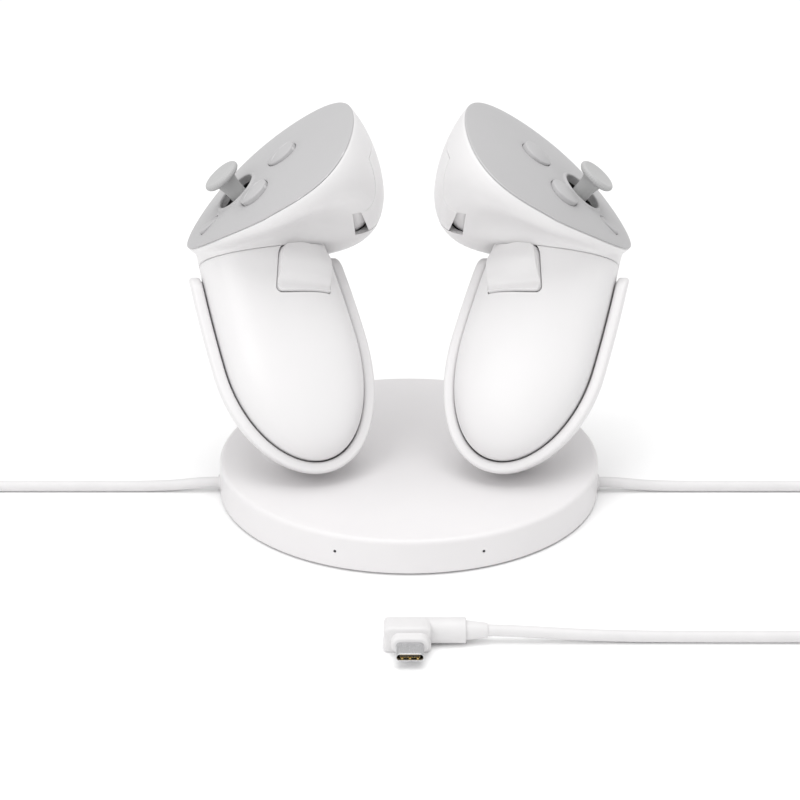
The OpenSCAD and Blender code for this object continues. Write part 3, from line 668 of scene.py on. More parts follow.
# ----- Shapes that several pieces share -----
@dataclass(frozen=True)
class HandleShape:
    """The handle's body: rounded below, nearly straight above, with flattened flanks."""

    half_width: float = 21.7
    height: float = 69.0
    front: float = 13.0
    back: float = 18.0
    round_end: float = 36.0
    slope: float = 0.11
    waist: float = 0.06
    flank: float = 2.4

    def way_up(self, y: Points) -> Points:
        """Gives 0 at the rounded end's top and 1 at the crease."""
        return np.maximum(0, (y - self.round_end) / (self.height - self.round_end))

    def fallen(self, points: Points) -> Points:
        """Lets the upper part fall towards the triggers, and sets the lower end a little aside."""
        x, y = points[..., 0].copy(), points[..., 1].copy()
        y_new = y - self.slope * x * self.way_up(y)
        aside = np.where(y < self.round_end, 1.5 * (1 - np.maximum(y, 0) / self.round_end) ** 2, 0)
        done = points.copy()
        done[..., 0], done[..., 1] = x + aside, y_new
        return done

    def ring(self, y: float, share: float, grow: Points | float, count: int) -> Points:
        """Gives one ring round the handle.

        Args:
            y: its height.
            share: its size, from 0 at the tip to 1.
            grow: how far it stands off the handle's own surface, for the ring or for each of its points.
            count: how many points it has.

        Returns:
            The ring's points in the handle's frame.
        """
        a = np.linspace(0, 2 * math.pi, count, endpoint=False)
        half = (self.half_width * (1 - self.waist * self.way_up(np.array(y)) ** 2) + grow) * share
        deep = (np.where(np.sin(a) > 0, self.front, self.back) + grow) * share ** 0.9
        x = half * signed_power(np.cos(a), 2 / self.flank)
        z = deep * signed_power(np.sin(a), 2 / self.flank)
        return self.fallen(np.stack([x, np.full(count, float(y)), z], -1))

    def solid(self, grow: float, top: float, count: int = 120) -> Form:
        """Gives the closed handle form, cut level at a height."""
        angles = np.radians(np.concatenate([[3, 6], np.linspace(10, 90, 26)]))
        low = [self.ring(self.round_end - (self.round_end + grow) * math.cos(a), math.sin(a), grow, count)
               for a in angles]
        high = [self.ring(y, 1.0, grow, count) for y in np.linspace(self.round_end, top, 22)[1:]]
        return Form.grid(np.array(low + high), around=True, caps=True)

    def outline(self, z: float, grow: float, top: float, count: int, lead: Sequence[float] = ()) -> Points:
        """Gives the outline at one depth: down the left side, round the bottom and up the right.

        Args:
            z: the depth, out of the cradle when positive.
            grow: how far the outline stands off the handle's own surface.
            top: the height of both its ends.
            count: how many points each half has.
            lead: distances from each end where points are wanted, for an edge.

        Returns:
            The outline's points in the handle's frame.
        """
        deep = (self.front if z > 0 else self.back) + grow
        level = min(1.0, abs(z) / deep)
        y_side = np.linspace(top, self.round_end, 60)
        wide = self.half_width * (1 - self.waist * self.way_up(y_side) ** 2) + grow
        side = np.column_stack([wide * (1 - level ** self.flank) ** (1 / self.flank), y_side])
        least = level ** (1 / 0.9)
        share = least + (1 - least) * np.sin(np.linspace(math.pi / 2, 0, 160)) ** 2
        with np.errstate(divide="ignore", invalid="ignore"):
            inner = np.where(share > 0, level / np.maximum(share, 1e-9) ** 0.9, 0)
        x = (self.half_width + grow) * share * np.maximum(0, 1 - np.minimum(1, inner) ** self.flank) \
            ** (1 / self.flank)
        y = self.round_end - (self.round_end + grow) * np.sqrt(np.maximum(0, 1 - share ** 2))
        path = np.vstack([side, np.column_stack([x, y])[1:]])
        path[-1, 0] = 0
        step = np.concatenate([[0], np.cumsum(np.linalg.norm(np.diff(path, axis=0), axis=1))])
        wanted = np.concatenate([[0], lead, np.linspace((lead[-1] if len(lead) else 0), step[-1],
                                                        count - len(lead))[1:]])
        half = np.column_stack([np.interp(wanted, step, path[:, 0]), np.interp(wanted, step, path[:, 1])])
        whole = np.vstack([half * [-1, 1], half[::-1][1:]])
        return self.fallen(np.column_stack([whole, np.full(len(whole), float(z))]))

    def levels(self, start: float, end: float, count: int) -> Points:
        """Gives depths from start to a side's deepest line, closer together where it turns over."""
        first = math.asin(min(1, abs(start / end)) ** (self.flank / 2))
        return end * np.sin(np.linspace(first, math.pi / 2, count)) ** (2 / self.flank)


@dataclass(frozen=True)
class FaceShape:
    """The egg-shaped, slightly domed face of a controller."""

    length: float = 69.2
    width: float = 60.0
    taper: float = 0.4
    tip_share: float = 0.477
    dome: float = 4.0

    @property
    def bend(self) -> float:
        """The radius of the dome."""
        return ((self.width / 2) ** 2 + self.dome ** 2) / (2 * self.dome) * 1.18

    def height(self, x: Points, y: Points) -> Points:
        """Gives the dome's height over the face's frame."""
        return self.dome - (x * x + y * y) / (2 * self.bend)

    def outline(self, inset: float, count: int, back: bool = False) -> Points:
        """Gives the egg, drawn in by a width.

        Args:
            inset: how far it is drawn in.
            count: how many points it has.
            back: whether it runs clockwise.

        Returns:
            The outline's points, two coordinates each.
        """
        a = np.linspace(0, 2 * math.pi, count, endpoint=False) * (-1 if back else 1)
        c = np.cos(a)
        share = np.where(c > 0, 1 - self.tip_share, self.tip_share)
        x = (self.length * share - inset) * signed_power(c, np.where(c > 0, 0.88, 1.0))
        y = (self.width / 2 - inset) * (1 + self.taper * c) * np.sin(a)
        return np.column_stack([x, y])

    def ring(self, inset: float, drop: float, count: int) -> Points:
        """Gives the face's rim in the row frame, clockwise, drawn in and lowered."""
        flat = self.outline(inset, count, back=True)
        return FACE.out(np.column_stack([flat, self.height(flat[:, 0], flat[:, 1]) - drop]))


@dataclass(frozen=True)
class HeadShape:
    """The head: a skin from the top of the handle to the rim of the face."""

    handle: HandleShape = HandleShape()
    face: FaceShape = FaceShape()
    swell: float = 0.6
    seam_drop: float = 0.7

    def rings(self, inset: float, count: int = 120, steps: int = 34) -> Points:
        """Gives the head's rings, from its foot to its rim.

        Args:
            inset: how far the skin lies inside the outer one.
            count: how many points a ring has.
            steps: how many rings lie above the foot.

        Returns:
            The rings' points in the row frame.
        """
        a = np.linspace(0, 2 * math.pi, count, endpoint=False)
        side = np.maximum(0, np.cos(a))[:, None] ** 1.2
        up, out, normal = HANDLE.turn[:, 1], HANDLE.turn[:, 0], FACE.turn[:, 2]
        foot = HANDLE.out(self.handle.ring(self.handle.height, 1.0, -inset, count)) + up * inset * side
        rim = self.face.ring(inset, self.seam_drop, count)
        reach = np.linalg.norm(rim - foot, axis=1)[:, None]
        lead = up * (1 - 1.25 * side) + out * side
        lead = lead / np.linalg.norm(lead, axis=1)[:, None]
        b = foot + lead * reach * (0.33 + (self.swell - 0.33) * side)
        c = rim - normal * reach * 0.35
        t = np.linspace(0, 1, steps + 1)[:, None, None]
        return foot * (1 - t) ** 3 + b * 3 * t * (1 - t) ** 2 + c * 3 * t * t * (1 - t) + rim * t ** 3

    def solid(self, inset: float) -> Form:
        """Gives the closed head form; an inner one runs a little past the outer one at both ends."""
        rows = self.rings(inset)
        if inset > 0:
            below = rows[0] - HANDLE.turn[:, 1] * 2
            above = rows[-1] + FACE.turn[:, 2] * 2
            rows = np.concatenate([below[None], rows, above[None]])
        return Form.grid(rows, around=True, caps=True)


def block(low: Sequence[float], high: Sequence[float]) -> Form:
    """Gives the eight corners of a box as a cutting form."""
    (x0, y0, z0), (x1, y1, z1) = low, high
    points = np.array([[x, y, z] for z in (z0, z1) for y in (y0, y1) for x in (x0, x1)], float)
    faces = [(0, 2, 3, 1), (4, 5, 7, 6), (0, 1, 5, 4), (2, 6, 7, 3), (0, 4, 6, 2), (1, 3, 7, 5)]
    return Form(points, faces)


def wedge(radius: float, width: float, back: float, top: float, count: int = 96) -> Form:
    """Gives a trigger's zone: a flat disc about y, cut to the part below its hinge and outside its back.

    Args:
        radius: how far the trigger reaches from its hinge.
        width: the disc's thickness.
        back: how far the zone runs behind the hinge.
        top: how far the zone runs above the hinge.
        count: how many points a full turn would have.

    Returns:
        The closed form in the trigger's frame.
    """
    start = -math.acos(-back / radius)
    end = math.asin(top / radius)
    angle = np.linspace(start, end, count)
    arc = np.column_stack([radius * np.cos(angle), radius * np.sin(angle)])
    outline = np.vstack([arc, [[-back, top]]])
    rows = np.array([[[x, y, z] for x, z in outline] for y in (-width / 2, width / 2)])
    return Form.grid(rows, around=True, caps=True)


# ----- The dock -----
@dataclass
class Base:
    """The round weighted base: its shell, and finishes for what lies in it and under it."""

    radius: float = 62.0
    height: float = 12.0
    wall: float = 2.2
    foot: float = 0.6
    edge: float = 1.9
    light_x: float = 23.1
    light_z: float = 6.2
    light_bore: float = 0.5

    def shell(self) -> bpy.types.Object:
        """Builds the shell with its two pinholes."""
        deck = self.height - self.wall
        inner = self.radius - self.wall
        profile = rounded([(0, deck, 0), (inner, deck, 1.0), (inner, self.foot, 0.2),
                           (self.radius, self.foot, 0.5), (self.radius, self.height, self.edge),
                           (0, self.height, 0)], 9)
        thing = revolve(profile, 240).mesh("base_shell_moulding")
        for side in Side:
            bore = revolve([(0, -6), (self.light_bore, -6), (self.light_bore, 4), (0, 4)], 24)
            front = -math.sqrt(self.radius ** 2 - self.light_x ** 2)
            spot = Place.of([-self.light_x * side.sign, front, self.light_z], turn_about("x", 90))
            carve(thing, "DIFFERENCE", bore.placed(spot))
        return smooth(thing)

    def build(self) -> None:
        """Makes the shell and finishes the CAD nodes of the base."""
        mount(self.shell(), Finish.dock_shell, "dock", "base_shell")
        for node, finish in (("base_cover", Finish.dock_shell), ("foot_pad", Finish.pad_rubber),
                             ("ballast_plate", Finish.steel), ("dock_board", Finish.board_green),
                             ("status_lights", Finish.dark_plastic), ("cover_screws", Finish.steel),
                             ("cradle_screws", Finish.steel), ("contact_blocks", Finish.dark_plastic)):
            finish.dress(frame["nodes"][node])


@dataclass
class Cradle:
    """An open half shell that follows the handle, with rounded edges, on a short post."""

    shape: HandleShape = HandleShape()
    gap: float = 0.45
    wall: float = 3.6
    top: float = 66.5
    edge: float = 1.15
    tip: float = 4.0
    post_at: tuple[float, float] = (-36.0, 2.0)
    post_radius: float = 11.0
    post_top: float = 30.0
    base_top: float = 12.0
    stations: int = 72

    def depths(self, grow: float) -> Points:
        """Gives one skin's levels: close together at the tips' rounding, then down to its deepest line."""
        near = np.array([0, 0.12, 0.4, 0.8, 1.3, 1.9, 2.6, 3.3]) * self.tip / 4
        deep = -(self.shape.back + grow)
        rest = self.shape.levels(-(self.edge + self.tip), deep, 30)
        return np.concatenate([-(self.edge + near), rest])

    def end_height(self, depth: float) -> tuple[float, Points]:
        """Gives where a level ends at the tips, and which way the edge faces there."""
        across = min(self.tip, abs(depth) - self.edge)
        lean = (self.tip - across) / self.tip
        rise = math.sqrt(max(0.0, 1 - lean * lean))
        return self.top - self.edge - self.tip * (1 - rise), np.array([0, rise, lean])

    def skins(self) -> tuple[Points, Points, Points]:
        """Gives the outer and the inner skin's rows, and the edge's directions at the ends of each row."""
        outer, inner, ways = [], [], []
        for deep_out, deep_in in zip(self.depths(self.gap + self.wall), self.depths(self.gap)):
            end, way = self.end_height(deep_out)
            outer.append(self.shape.outline(deep_out, self.gap + self.wall, end, self.stations))
            inner.append(self.shape.outline(deep_in, self.gap, end, self.stations))
            ways.append(way)
        return np.array(outer), np.array(inner), np.array(ways)

    def form(self) -> Form:
        """Builds the closed shell in the handle's frame."""
        outer, inner, ways = self.skins()
        width, last = outer.shape[1], len(outer) - 1
        loop = [(0, m) for m in range(width)] + [(k, width - 1) for k in range(1, last + 1)]
        loop += [(k, 0) for k in range(last - 1, 0, -1)]
        face = np.array([[0, 0, 1.0] if k == 0 else ways[k] for k, _ in loop])
        far = np.array([outer[k, m] for k, m in loop])
        near = np.array([inner[k, m] for k, m in loop])
        across = far - near
        across -= face * (across * face).sum(1)[:, None]
        across /= np.linalg.norm(across, axis=1)[:, None]
        quarter = np.linspace(0, math.pi / 2, 7)
        rows = [far - across * self.edge * (1 - math.cos(t)) + face * self.edge * math.sin(t)
                for t in quarter]
        rows += [near + across * self.edge * (1 - math.cos(t)) + face * self.edge * math.sin(t)
                 for t in quarter[::-1]]
        return Form.grid(outer).joined(Form.grid(inner), Form.grid(np.array(rows), around=True))

    def post(self, shell: Form) -> Form:
        """Builds the post, flared at its foot, up into the shell's wall.

        Args:
            shell: the shell in the row frame.

        Returns:
            The post in the row frame.
        """
        tree = BVHTree.FromPolygons([Vector(p) for p in shell.points], shell.faces)
        angle = np.linspace(0, 2 * math.pi, 96, endpoint=False)
        rows = []
        profile = rounded([(self.post_radius + 1.6, 0, 0), (self.post_radius, 0.1, 1.6),
                           (self.post_radius, 5.0, 0)], 8)
        for radius, height in profile:
            rows.append([[self.post_at[0] + radius * math.cos(a), self.post_at[1] + radius * math.sin(a),
                          self.base_top + height] for a in angle])
        top = []
        for x, y, z in rows[-1]:
            hit = tree.ray_cast(Vector((x, y, self.base_top)), Vector((0, 0, 1)))[0]
            top.append([x, y, max(z, min(self.post_top, hit.z + 1.6 if hit else self.post_top))])
        rows.append(top)
        return Form.grid(np.array(rows), around=True, caps=True)

    def build(self) -> None:
        """Makes both cradles."""
        shell = self.form().placed(HANDLE)
        post = self.post(shell)
        for side in Side:
            thing = shell.joined(post).mirrored(side).mesh(f"cradle_shell_{side.value}")
            mount(smooth(thing, 40), Finish.white_shell, "dock", f"cradle_{side.value}")


# ----- The leads -----
def through(points: Sequence[Sequence[float]], step: float = 2.0) -> Points:
    """Draws a smooth line through points.

    Args:
        points: the points, in millimetres.
        step: how far apart the line's own points lie.

    Returns:
        The line's points.
    """
    p = np.array(points, float)
    p = np.vstack([2 * p[0] - p[1], p, 2 * p[-1] - p[-2]])
    line = [p[1]]
    for a, b, c, d in zip(p, p[1:], p[2:], p[3:]):
        for t in np.linspace(0, 1, max(2, int(np.linalg.norm(c - b) / step) + 1))[1:]:
            line.append(0.5 * (2 * b + (c - a) * t + (2 * a - 5 * b + 4 * c - d) * t * t
                               + (3 * b - a - 3 * c + d) * t ** 3))
    return np.array(line)


@dataclass
class Lead:
    """A free lead: its way out along the table, its coil, and its way on to the plug."""

    name: str
    way: tuple[tuple[float, float, float], ...]
    tail: tuple[tuple[float, float, float], ...]
    coil_at: tuple[float, float]
    turns: tuple[tuple[float, float, float], ...]
    layers: int
    tie_angle: float
    side: int
    diameter: float = 3.6
    inner: float = 14.6
    outer: float = 25.4
    coil_z: float = 0.6
    exit_x: float = 62.0
    exit_y: float = -3.0
    exit_z: float = 3.3

    def wound(self) -> Points:
        """Gives the coil's points: each stop is an angle, a radius and a height, eased to the next."""
        line = []
        for (a0, r0, z0), (a1, r1, z1) in zip(self.turns, self.turns[1:]):
            count = max(2, int(abs(a1 - a0) / 7.5) + 1)
            for t in np.linspace(0, 1, count)[:-1]:
                ease = float(smooth_step(np.array(t)))
                a = math.radians(a0 + (a1 - a0) * t)
                r, z = r0 + (r1 - r0) * ease, z0 + (z1 - z0) * ease
                line.append([self.coil_at[0] + r * math.cos(a), self.coil_at[1] + r * math.sin(a), z])
        return np.array(line)

    def centreline(self) -> Points:
        """Gives the whole lead's middle line."""
        return np.vstack([through(self.way)[:-1], self.wound(), through(self.tail)])

    def cord(self) -> tuple[bpy.types.Object, float]:
        """Makes the cord as one open curve.

        Returns:
            The cord and its length in metres.
        """
        line = self.centreline() * MM
        data = bpy.data.curves.new(self.name, "CURVE")
        data.dimensions, data.bevel_depth, data.bevel_resolution = "3D", self.diameter / 2 * MM, 5
        data.use_fill_caps = True
        spline = data.splines.new("POLY")
        spline.points.add(len(line) - 1)
        spline.points.foreach_set("co", np.column_stack([line, np.ones(len(line))]).ravel())
        spline.use_smooth = True
        thing = bpy.data.objects.new(self.name, data)
        bpy.context.scene.collection.objects.link(thing)
        return thing, float(np.linalg.norm(np.diff(line, axis=0), axis=1).sum())

    def tie(self) -> Form:
        """Builds the strap that holds the coil: a soft band round its turns, with a button fastener."""
        low, high = self.coil_z, self.coil_z + self.layers * self.diameter
        corners = [(self.inner, low), (self.outer, low), (self.outer, high), (self.inner, high)]
        middle = np.array([(self.inner + self.outer) / 2, (low + high) / 2])
        rows = []
        for grow, half in ((0.02, 2.7), (0.02, 2.95), (0.45, 3.0), (0.78, 2.8), (0.78, 0), (0.78, -2.8),
                           (0.45, -3.0), (0.02, -2.95), (0.02, -2.7)):
            ring = []
            for k, (x, z) in enumerate(corners):
                out = np.sign(np.array([x, z]) - middle)
                for t in np.linspace(0, math.pi / 2, 6):
                    turn = math.pi * (1.25, 1.75, 0.25, 0.75)[k] - math.pi / 4 + t
                    ray = np.array([math.cos(turn), math.sin(turn)])
                    corner = np.array([x, z]) - out * 0.9 + ray * (0.9 + grow)
                    ring.append([max(corner[0], 0), half, max(corner[1], 0.02)])
            rows.append(ring)
        band = Form.grid(np.array(rows), around=True)
        stud = revolve(rounded([(0, 0, 0), (2.0, 0, 0.3), (2.0, 1.0, 0.6), (0, 1.2, 0)], 5), 40)
        top = Place.of([middle[0], 0, high + 0.6])
        spot = Place.of([*self.coil_at, 0.0], turn_about("z", self.tie_angle))
        return band.joined(stud.placed(top)).placed(spot)

    def gland(self) -> Form:
        """Builds the ring that lines the lead's way out of the base."""
        hole = self.diameter / 2 + 0.03
        profile = rounded([(hole, -2.6, 0), (hole, 0.45, 0.3), (2.5, 0.45, 0.35), (2.5, -2.6, 0)], 6)
        profile.append(profile[0])
        way_out_at = [self.side * self.exit_x, self.exit_y, self.exit_z]
        return revolve(profile, 48).placed(Place.of(way_out_at, turn_about("y", 90 * self.side)))


@dataclass
class MetalMouth:
    """The small oval metal shell of a plug, open at its end, with a tongue and its contacts inside."""

    width: float = 8.34
    height: float = 2.56
    wall: float = 0.32
    reach: float = 6.65
    seat: float = 5.3

    def shell(self) -> Form:
        """Builds the shell about z = 0 at its mouth, running back along +z."""
        end = self.reach + self.seat
        levels = [(0.12, end), (0, end - 0.12), (0, 0.14), (0.05, 0.04), (0.13, 0), (self.wall - 0.06, 0),
                  (self.wall, 0.08), (self.wall, self.reach - 1)]
        return stacked(drawn_oval(self.width, self.height), levels)

    def tongue(self) -> Form:
        """Builds the tongue that stands in the mouth."""
        levels = [(0.15, self.reach + 0.6), (0.15, 1.3), (0.3, 1.05), (0.34, 1.0)]
        return stacked(drawn_oval(6.9, 1.0, 32), levels)

    def contacts(self) -> Form:
        """Builds the sprung contacts along both faces of the tongue."""
        pair = block((-0.14, 0.33, 0.98), (0.14, 0.5, 5.0))
        pair = pair.joined(block((-0.14, -0.5, 0.98), (0.14, -0.33, 5.0)))
        first, *others = (pair.placed(Place.of([-2.75 + 0.5 * k, 0, 0])) for k in range(12))
        done = first.joined(*others)
        for x in (-2.3, 0.0, 2.3):
            nub = stacked(lambda inset: oval_outline(0.75 - 2 * inset, 0.3 - inset, 16),
                          [(0, 3.0), (0, 0.62), (0.06, 0.5), (0.12, 0.46)])
            done = done.joined(nub.placed(Place.of([x, 0.66, 0])))
        return done


def way_out(side: int, end: float) -> tuple[tuple[float, float, float], ...]:
    """Gives a lead's way out of the base: down to the table and up again to its coil at the end."""
    heights = ((60, 3.3), (66, 3.2), (71, 2.8), (77, 2.2), (84, 1.9), (92, 1.8), (108, 1.8), (124, 1.8),
               (140, 1.8), (148, 1.9), (156, 2.1), (164, 2.3), (end, 2.4))
    return tuple((side * x, -3, z) for x, z in heights)


def first_layers(turn: float) -> tuple[tuple[float, float, float], ...]:
    """Gives a coil's first two layers, wound inwards and out again, turned by some degrees."""
    stops = ((-90, 27.3, 2.4), (-150, 23.6, 2.4), (-450, 23.6, 2.4), (-510, 20, 2.4), (-810, 20, 2.4),
             (-870, 16.4, 2.4), (-1120, 16.4, 2.4), (-1170, 16.4, 6), (-1430, 16.4, 6), (-1480, 20, 6),
             (-1790, 20, 6), (-1840, 23.6, 6))
    return tuple((angle + turn, radius, z) for angle, radius, z in stops)


@dataclass
class Leads:
    """Both leads with their glands, coils, ties and plugs."""

    mouth: MetalMouth = field(default_factory=MetalMouth)
    plug_y: float = -103.4
    plug_z: float = 4.0
    mouth_y: float = -119.65
    power_plug: tuple[float, float, float] = (-199.3, 38.0, 3.3)
    power: Lead = field(default_factory=lambda: Lead(
        name="power_lead",
        way=way_out(-1, 172),
        tail=((-199.3, 24.3, 2.4), (-199.3, 28, 2.5), (-199.3, 32, 2.8), (-199.3, 37, 3.3),
              (-199.3, 41, 3.3)),
        coil_at=(-172, 24.3), layers=4, tie_angle=45, side=-1,
        turns=first_layers(0) + (
            (-2100, 23.6, 6), (-2150, 23.6, 9.6), (-2410, 23.6, 9.6), (-2460, 20, 9.6), (-2770, 20, 9.6),
            (-2820, 16.4, 9.6), (-3080, 16.4, 9.6), (-3130, 16.4, 13.2), (-3390, 16.4, 13.2),
            (-3440, 20, 13.2), (-3750, 20, 13.2), (-3800, 23.6, 13.2), (-3960, 23.6, 13.2), (-4010, 27.3, 10),
            (-4050, 27.3, 6.4), (-4080, 27.3, 5.9), (-4110, 27.3, 3.9), (-4140, 27.3, 2.4))))
    headset: Lead = field(default_factory=lambda: Lead(
        name="headset_lead",
        way=way_out(1, 170),
        tail=((197.3, -30.3, 2.4), (197.3, -39, 2.3), (197, -48, 2.1), (195.8, -57, 1.9), (193.3, -66, 1.8),
              (189, -75, 1.8), (182.7, -83, 1.8), (174.5, -90, 1.8), (165, -95.5, 1.8), (154, -99.5, 1.8),
              (142, -102, 1.8), (130, -103.2, 1.8), (118, -103.4, 1.8), (94, -103.4, 1.8), (72, -103.4, 1.9),
              (62, -103.4, 2.1), (53, -103.4, 2.4), (44, -103.4, 2.9), (36, -103.4, 3.4), (29, -103.4, 3.8),
              (22, -103.4, 4), (16, -103.4, 4)),
        coil_at=(170, -30.3), layers=2, tie_angle=135, side=1,
        turns=first_layers(180) + (
            (-1970, 23.6, 6), (-2020, 27.3, 6), (-2070, 27.3, 6.2), (-2100, 27.3, 5.8), (-2130, 27.3, 3.9),
            (-2160, 27.3, 2.4))))

    def relief(self, large: float, small: float, length: float, ribs: int = 4) -> Form:
        """Builds a tapered strain relief along +z, from the housing's end at z = 0.

        Args:
            large: its radius at the housing.
            small: its radius at its tip.
            length: how long it is.
            ribs: how many shallow grooves go round it.

        Returns:
            The closed ring round the cord.
        """
        hole = 1.83
        corners = [(hole, -1.5, 0), (large, -1.5, 0), (large, 0.3, 0.2)]
        for k in range(ribs):
            at = length * (k + 0.7) / (ribs + 0.7)
            here = large + (small - large) * at / length
            corners += [(here, at - 0.34, 0.12), (here - 0.3, at - 0.2, 0.1), (here - 0.3, at + 0.2, 0.1),
                        (here - 0.03, at + 0.34, 0.12)]
        corners += [(small, length, 0.3), (hole, length, 0)]
        profile = rounded(corners, 4)
        return revolve(profile + [profile[0]], 56)

    def headset_grip(self) -> bpy.types.Object:
        """Builds the right-angled plug's body: a barrel along the lead, and a block with the shell."""
        barrel = revolve(rounded([(0, -7.6, 0), (3.9, -7.6, 1.3), (3.9, 16.6, 0.5), (0, 16.6, 0)], 7), 72)
        thing = barrel.placed(Place.of([0, self.plug_y, self.plug_z], turn_about("y", 90))).mesh("plug_body")
        front = Place.of([-0.75, self.plug_y, self.plug_z], turn_about("x", 90))
        head = stacked(drawn_oval(13.5, 7.8, 72),
                       [(0.6, -0.4), (0, 0), (0, 5.6), (0.1, 6.1), (0.4, 6.45), (0.9, 6.6)])
        head = Form(np.column_stack([self.squared(head.points[:, 0], head.points[:, 1], 6.75, 3.9),
                                     head.points[:, 2]]), head.faces)
        nose = stacked(drawn_oval(11.2, 5.2),
                       [(0, 4), (-0.2, 6.5), (0, 7.4), (0.1, 9.1), (0.4, 9.45), (0.8, 9.6)])
        carve(thing, "UNION", head.placed(front), nose.placed(front.then([0.75, 0, 0])))
        return smooth(soften(thing, 0.3, 35), 45)

    @staticmethod
    def squared(x: Points, y: Points, half_x: float, half_y: float) -> Points:
        """Pushes a round end outwards, towards a rounded rectangle."""
        angle = np.arctan2(y / half_y, x / half_x)
        reach = np.hypot(x / half_x, y / half_y)
        cos, sin = np.cos(angle), np.sin(angle)
        square = 1 / (np.abs(cos) ** 5 + np.abs(sin) ** 5) ** 0.2
        return np.column_stack([cos * square * reach * half_x, sin * square * reach * half_y])

    def power_grip(self) -> bpy.types.Object:
        """Builds the straight plug's body with its finger dips."""
        place = Place(np.array(self.power_plug) + [0, 8, 0], turn_about("x", -90))
        levels = [(1.9, 0), (1.0, 0.25), (0.35, 1.0), (0.05, 2.2), (0, 4)]
        levels += [(0.45 * math.sin(math.pi * t) ** 2, 4 + 11 * t) for t in np.linspace(0.1, 0.9, 9)]
        levels += [(0, 15), (0, 19.9), (0.15, 20.6), (0.5, 20.95), (0.9, 21)]
        form = stacked(drawn_oval(12, 6.6, 72), levels)
        return smooth(form.placed(place).mesh("power_plug_body"), 45)

    def build(self) -> None:
        x, y, z = self.power_plug
        straight = Place.of((x, y + 29 + self.mouth.reach, z), turn_about("x", 90))
        angled = Place.of((0, self.mouth_y, self.plug_z), turn_about("x", -90))
        self.end(self.power, "power", [
            (self.power_grip(), Finish.cord_white, ("power_plug_grip",)),
            (self.relief(2.6, 2.15, 8).placed(Place.of([x, y + 8, z], turn_about("x", 90)))
             .mesh("power_plug_relief"), Finish.cord_white, ()),
            (self.mouth.shell().placed(straight).mesh("power_plug_mouth"), Finish.steel,
             ("power_plug_shell",)),
            (self.mouth.tongue().placed(straight).mesh("power_plug_tongue"), Finish.dark_plastic, ()),
            (self.mouth.contacts().placed(straight).mesh("power_plug_contacts"), Finish.gold_contact, ())])
        self.end(self.headset, "headset", [
            (self.headset_grip(), Finish.cord_white, ("headset_plug_body",)),
            (self.relief(2.95, 2.2, 6.4, 0)
             .placed(Place.of([16.6, self.plug_y, self.plug_z], turn_about("y", 90)))
             .mesh("headset_plug_relief"), Finish.cord_white, ()),
            (self.mouth.shell().placed(angled).mesh("headset_plug_mouth"), Finish.steel,
             ("headset_plug_shell",)),
            (self.mouth.tongue().placed(angled).mesh("headset_plug_blade"), Finish.dark_plastic,
             ("headset_plug_tongue",)),
            (self.mouth.contacts().placed(angled).mesh("headset_plug_contacts"), Finish.gold_contact, ())])

    def end(self, lead: Lead, word: str,
            pieces: list[tuple[bpy.types.Object, Finish, tuple[str, ...]]]) -> None:
        """Args:
            lead: the lead.
            word: the start of its CAD nodes' names.
            pieces: what its far end carries, with each piece's finish and CAD nodes.
        """
        cord, length = lead.cord()
        mount(cord, Finish.cord_white, "dock", f"{word}_cord", f"{word}_coil")
        tie = smooth(lead.tie().mesh(f"{word}_lead_strap"), 45)
        mount(tie, Finish.cord_white, "dock", f"{word}_tie")
        for thing, finish, nodes in pieces:
            mount(smooth(thing, 40), finish, "dock", *nodes)
        mount(smooth(lead.gland().mesh(f"{word}_lead_ring"), 45), Finish.cord_white, "dock", f"{word}_gland")
        exit_at = [lead.side * lead.exit_x * MM, lead.exit_y * MM, lead.exit_z * MM]
        lead.diameter * MM
        [tie] + [thing for thing, _, _ in pieces]
        LOG.info("%s: %.3f m", lead.name, length)


